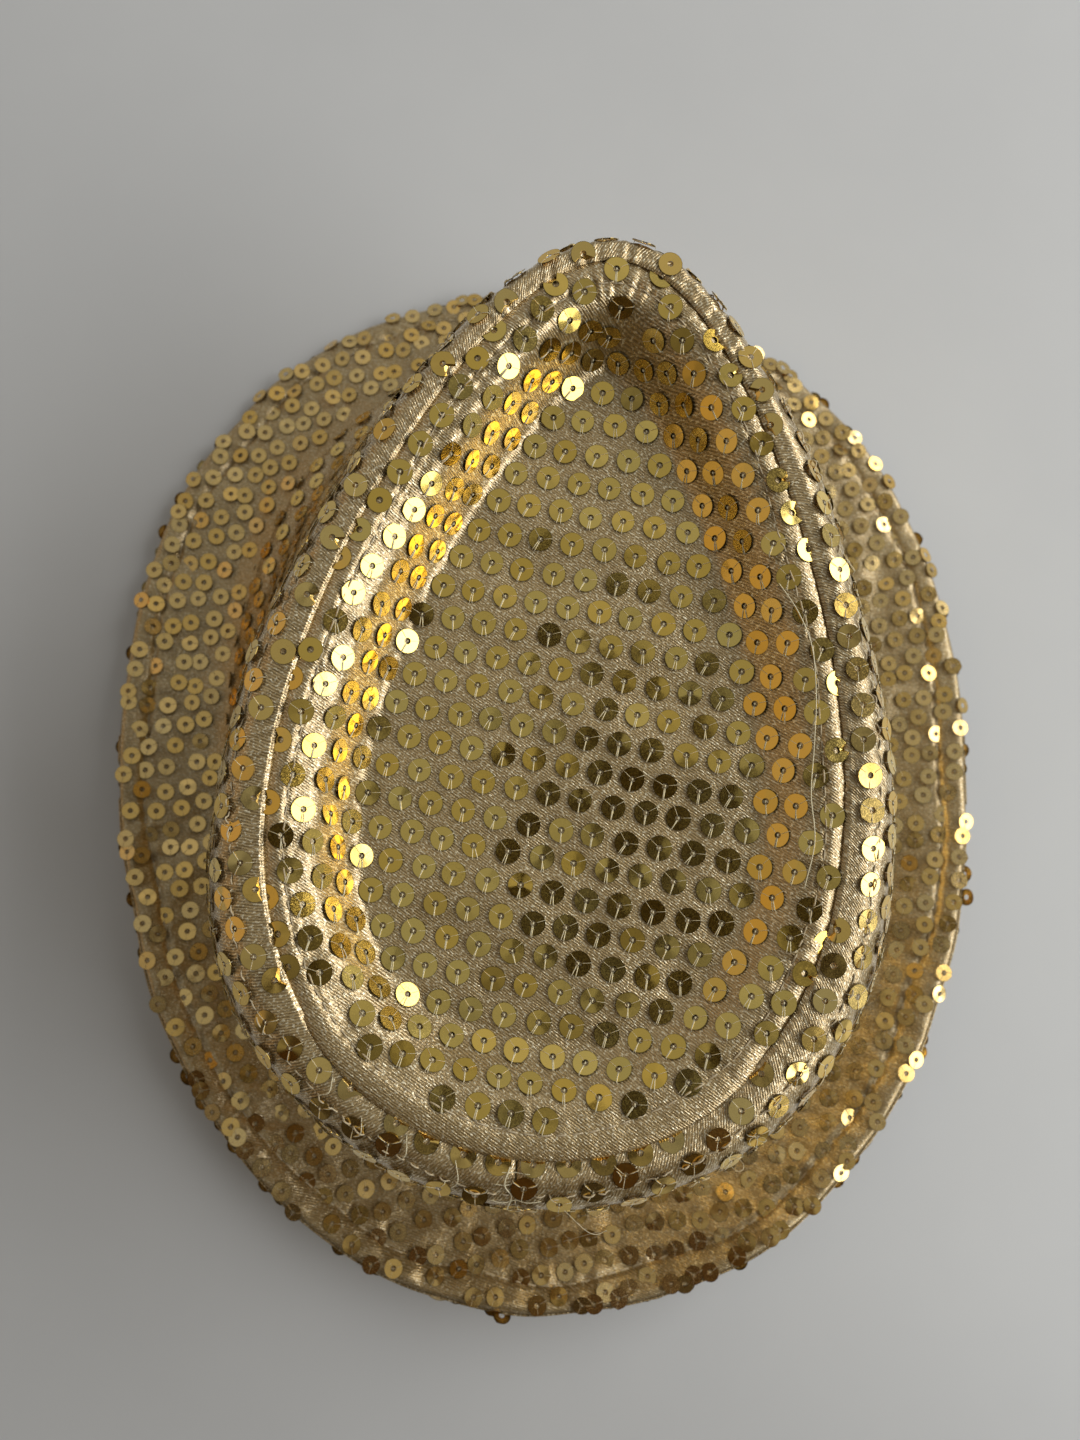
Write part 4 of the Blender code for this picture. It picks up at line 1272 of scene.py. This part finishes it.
RIDGE_STITCH = dict(length=2.6 * MM, gap=0.55 * MM, radius=0.165 * MM, rise=0.22 * MM)
path = ring_at(tip_stitch_line(tip_index[6]), tip_grid[3:], tip_normals[3:], tip_inside)
stitch_row("ridge_inner_stitches", *path, "ridge_inner_stitch", **RIDGE_STITCH,
           over=tip_centres)
path = ring_at(wall_stitch_line[0], side_body, wall_normals, WALL_DOWN)
stitch_row("ridge_outer_stitches", *path, "ridge_outer_stitch", **RIDGE_STITCH,
           over=side_centres)
for side, sign in (("top", TOP), ("under", UNDER)):
    grid, normals = brims[sign]
    path = ring_at(GROOVE_LINE[0], grid[2:], normals[2:], FROM_EDGE)
    stitch_row(f"brim_edge_stitches_{side}", *path, f"brim_edge_stitch_{side}",
               length=3.0 * MM, gap=0.6 * MM, radius=0.18 * MM, rise=0.16 * MM)
column_normals = side_normals[10:-14, 0]
stitch_row("back_seam_stitches", side_grid[10:-14, 0] + column_normals * 0.25 * MM,
           column_normals, "back_seam_stitch", length=2.8 * MM, gap=0.5 * MM,
           radius=0.16 * MM, rise=0.12 * MM, closed=False)
stitch_row("sweatband_stitches", band[30] - band_normals[30] * (BAND_SHEET + 0.05 * MM),
           -band_normals[30], "sweatband_stitch", length=3.0 * MM, gap=0.7 * MM,
           radius=0.2 * MM, rise=0.15 * MM)


# --------------------------------------------------------------- loose threads
def loose(points, radius, count):
    curve = spline(np.asarray(points, float)[:, None, :], count)[:, 0, :]
    return tubes(curve[None], radius, 5)


def on_tip(x, y, rise):
    """A point over the tip cloth; all in mm."""
    place, normal = tip_surface(np.array([x * MM]), np.array([y * MM]))
    return place[0] + normal[0] * rise * MM


def wall_spot(angle, down):
    """A point on the wall and its normal: degrees from the back seam, toward the
    right, and mm down from the top seam."""
    k = int(round(angle / 360.0 * COLUMNS)) % COLUMNS
    row = np.interp(down * MM, WALL_DOWN[:, k], np.arange(WALL_ROWS))
    i = min(int(row), WALL_ROWS - 2)
    return between(side_body[:, k], i, row - i), wall_normals[i, k]


def wall_thread(radius, count, *stations):
    """A thread over the wall; stations are (angle, mm down, mm above the cloth)."""
    points = []
    for angle, down, rise in stations:
        place, normal = wall_spot(angle, down)
        points.append(place + normal * rise * MM)
    return loose(points, radius, count)


def curl(angle, down, size, spin):
    """A curl of thread standing off the ridge; size in mm."""
    place, out = wall_spot(angle, down)
    start = place + out * 0.1 * MM
    along = unit(np.cross(out, UPWARD))
    ring = [start + out * (size * (1 - math.cos(q)) * 0.85 + 0.12 * q) * MM
            + along * (size * 0.62 * math.sin(q + 0.3 * spin) + 0.25 * q) * MM
            + UPWARD * (0.35 * size * math.sin(0.5 * q + spin)) * MM
            for q in np.linspace(0, 1.18 * TAU, 12)]
    return loose(ring, 0.06 * MM, 60)


# a long strand over the right of the tip: x, y and height above the cloth, mm
TIP_STRAND = ((44.0, 29.5, 0.4), (47.5, 23.5, 1.2), (49.6, 17.5, 1.5), (50.4, 8.0, 1.0),
              (49.8, -3.0, 0.9), (48.8, -13.0, 1.3), (49.0, -22.0, 1.1), (46.5, -31.0, 0.5))
threads = [loose([on_tip(*station) for station in TIP_STRAND], 0.12 * MM, 90)]
# bar tacks across the top of the back seam, and a strand down over them
for k, down in enumerate((3.0, 5.2, 9.4)):
    lean = 0.5 * math.sin(k * 2.3)
    threads.append(wall_thread(
        0.085 * MM, 16, (-3.2 + lean, down + 0.3, 0.05), (-1.6, down + 0.1, 0.45),
        (0.0, down, 0.40), (1.7, down + 0.3 * lean, 0.45), (3.0 - lean, down + lean, 0.05)))
threads.append(wall_thread(0.13 * MM, 30, (-1.0, 2.0, 0.5), (-1.3, 5.0, 0.75),
                           (-0.7, 8.0, 0.7), (-1.2, 11.0, 0.6), (-0.8, 13.5, 0.3)))
# curls on the right of the back seam: angle, down, size, spin
for station in ((31.0, 9.5, 2.3, 0.4), (35.5, 9.0, 1.7, 2.2), (67.0, 8.5, 1.3, 1.0),
                (52.0, 8.0, 1.6, 3.0)):
    threads.append(curl(*station))
# a long end hanging off the back of the wall
threads.append(wall_thread(0.05 * MM, 60, (6.0, 10.0, 0.2), (9.0, 16.0, 4.0),
                           (11.0, 30.0, 7.0), (8.0, 55.0, 14.0), (3.0, 75.0, 20.0)))
# short strands near the top seam at the back: angle, upper and lower end
for angle, high, low in ((-9.0, 3.0, 9.5), (-17.0, 2.2, 8.0), (-24.0, 4.0, 9.0),
                         (14.0, 2.6, 6.5), (-31.0, 2.0, 6.6)):
    threads.append(wall_thread(0.10 * MM, 16, (angle, high, 0.2),
                               (angle + 0.8, (high + low) / 2, 0.95),
                               (angle + 0.2, low, 0.25)))
add_tubes("loose_thread", threads, thread_pale)


# ----------------------------------------------------------------------- stage
def build_floor():
    bpy.ops.mesh.primitive_grid_add(x_subdivisions=2, y_subdivisions=2, size=6.0,
                                    location=(0, 0, -0.0002))
    floor = bpy.context.object
    floor.name = "floor"
    mat, graph, shader = new_material("floor_matt")
    grain = graph.noise(graph.object_place(), grain=1 / 9.0, detail=4.0, rough=0.6)
    graph.feed(shader, {
        "Base Color": graph.mix((0.610, 0.622, 0.628), (0.635, 0.647, 0.652),
                                graph.ramp(grain, span=(0.35, 0.65))),
        "Roughness": 0.62,
    })
    floor.data.materials.append(mat)


def build_window():
    """The main light: a wide soft rectangle to the right of the hat."""
    place, target = Vector((1.20, -0.02, 0.97)), Vector((0, 0, 0.05))
    data = bpy.data.lights.new("window", "AREA")
    data.shape = "RECTANGLE"
    data.size, data.size_y = 2.5, 0.80
    data.energy = 24.5
    data.color = (1.0, 0.998, 0.985)
    data.spread = math.radians(180.0)
    window = bpy.data.objects.new("window", data)
    window.location = place
    window.rotation_euler = (target - place).to_track_quat("-Z", "Y").to_euler()
    bpy.context.scene.collection.objects.link(window)
    window.visible_camera = False


# patches of the room, laid over each other: colour, direction, and the angles from
# it in degrees where the patch is full and where it ends
ROOM = (0.295, 0.30, 0.295)
ROOM_PATCHES = (
    ((0.45, 0.325, 0.20), (-1.0, 0.1, 0.22), 18, 50),       # warm, low on the left
    ((0.43, 0.42, 0.39), (0.05, 0.66, 0.75), 8, 27),        # lighter, high in front
    ((0.065, 0.060, 0.055), (0.50, 0.05, 0.86), 10, 20),    # dark, high on the right
    ((0.050, 0.042, 0.036), (-0.15, -0.88, 0.45), 34, 60),  # dark, behind
)


def build_world():
    world = bpy.data.worlds.new("studio")
    bpy.context.scene.world = world
    graph = Graph(world)
    coords = graph.add("TexCoord").outputs["Generated"]
    room = ROOM
    for colour, direction, full, end in ROOM_PATCHES:
        dot = graph.add("VectorMath", {0: coords, 1: unit(np.array(direction, float))},
                        operation="DOT_PRODUCT")
        share = graph.ramp(dot.outputs["Value"], interpolation="SMOOTHSTEP",
                           span=(math.cos(math.radians(end)), math.cos(math.radians(full))))
        room = graph.mix(room, colour, share)
    graph.feed(graph.tree.nodes["Background"], {"Color": room, "Strength": 1.0})


def shade_material(name, colour):
    mat, graph, shader = new_material(name)
    graph.feed(shader, {"Base Color": (*colour, 1), "Roughness": 0.9})
    return mat


def shade(name, verts, faces, location, mat, only_mirrored):
    """A dark surface the camera doesn't see; it may act in mirror reflections only."""
    mesh = bpy.data.meshes.new(name)
    mesh.from_pydata(verts, [], faces)
    obj = bpy.data.objects.new(name, mesh)
    bpy.context.scene.collection.objects.link(obj)
    obj.location = location
    obj.visible_camera = False
    if only_mirrored:
        obj.visible_diffuse = False
        obj.visible_shadow = False
    mesh.materials.append(mat)


def build_shades():
    card_mat = shade_material("shade_card", (0.05, 0.034, 0.02))
    # a level card over the hat darkens the sequins straight below it
    shade("shade_card", [(-0.030, -0.088, 0), (0.036, -0.088, 0), (0.036, 0.052, 0),
                         (-0.030, 0.052, 0)],
          [(0, 1, 2, 3)], (0.0, 0.0, 0.330), card_mat, only_mirrored=True)
    # an upright sheet behind keeps the room's light off the back of the brim
    shade("shade_body", [(-0.30, 0, 0.09), (0.26, 0, 0.09), (0.26, -0.02, 0.56),
                         (-0.30, -0.02, 0.56)],
          [(0, 1, 2, 3)], (0.0, -0.30, 0.0), card_mat, only_mirrored=False)
    # two brown sheets, one above the other, mirrored in the back of the brim
    shade("shade_arm", [(-0.19, -0.34, 0), (0.055, -0.34, 0), (0.055, -0.142, 0),
                        (-0.19, -0.135, 0), (-0.105, -0.175, -0.118),
                        (0.075, -0.175, -0.118), (0.052, -0.102, -0.118),
                        (-0.068, -0.102, -0.118)],
          [(0, 1, 2, 3), (4, 5, 6, 7)], (0.0, 0.0, 0.25),
          shade_material("shade_arm", (0.13, 0.066, 0.028)), only_mirrored=True)


def build_camera():
    """Looks almost straight down on the hat."""
    data = bpy.data.cameras.new("camera")
    data.sensor_width = 36.0
    data.sensor_fit = "AUTO"
    data.lens = 27.05
    data.clip_start = 0.01
    data.dof.use_dof = True
    data.dof.focus_distance = 0.222
    data.dof.aperture_fstop = 15.0
    camera = bpy.data.objects.new("camera", data)
    bpy.context.scene.collection.objects.link(camera)
    camera.matrix_world = (Matrix.Translation((-0.0108, -0.0190, 0.3106))
                           @ Matrix.Rotation(math.radians(-1.76), 4, "Z")
                           @ Matrix.Rotation(math.radians(-1.54), 4, "Y")
                           @ Matrix.Rotation(math.radians(6.07), 4, "X"))
    bpy.context.scene.camera = camera


build_floor()
build_window()
build_world()
build_shades()
build_camera()
bpy.context.scene.view_settings.view_transform = "Standard"
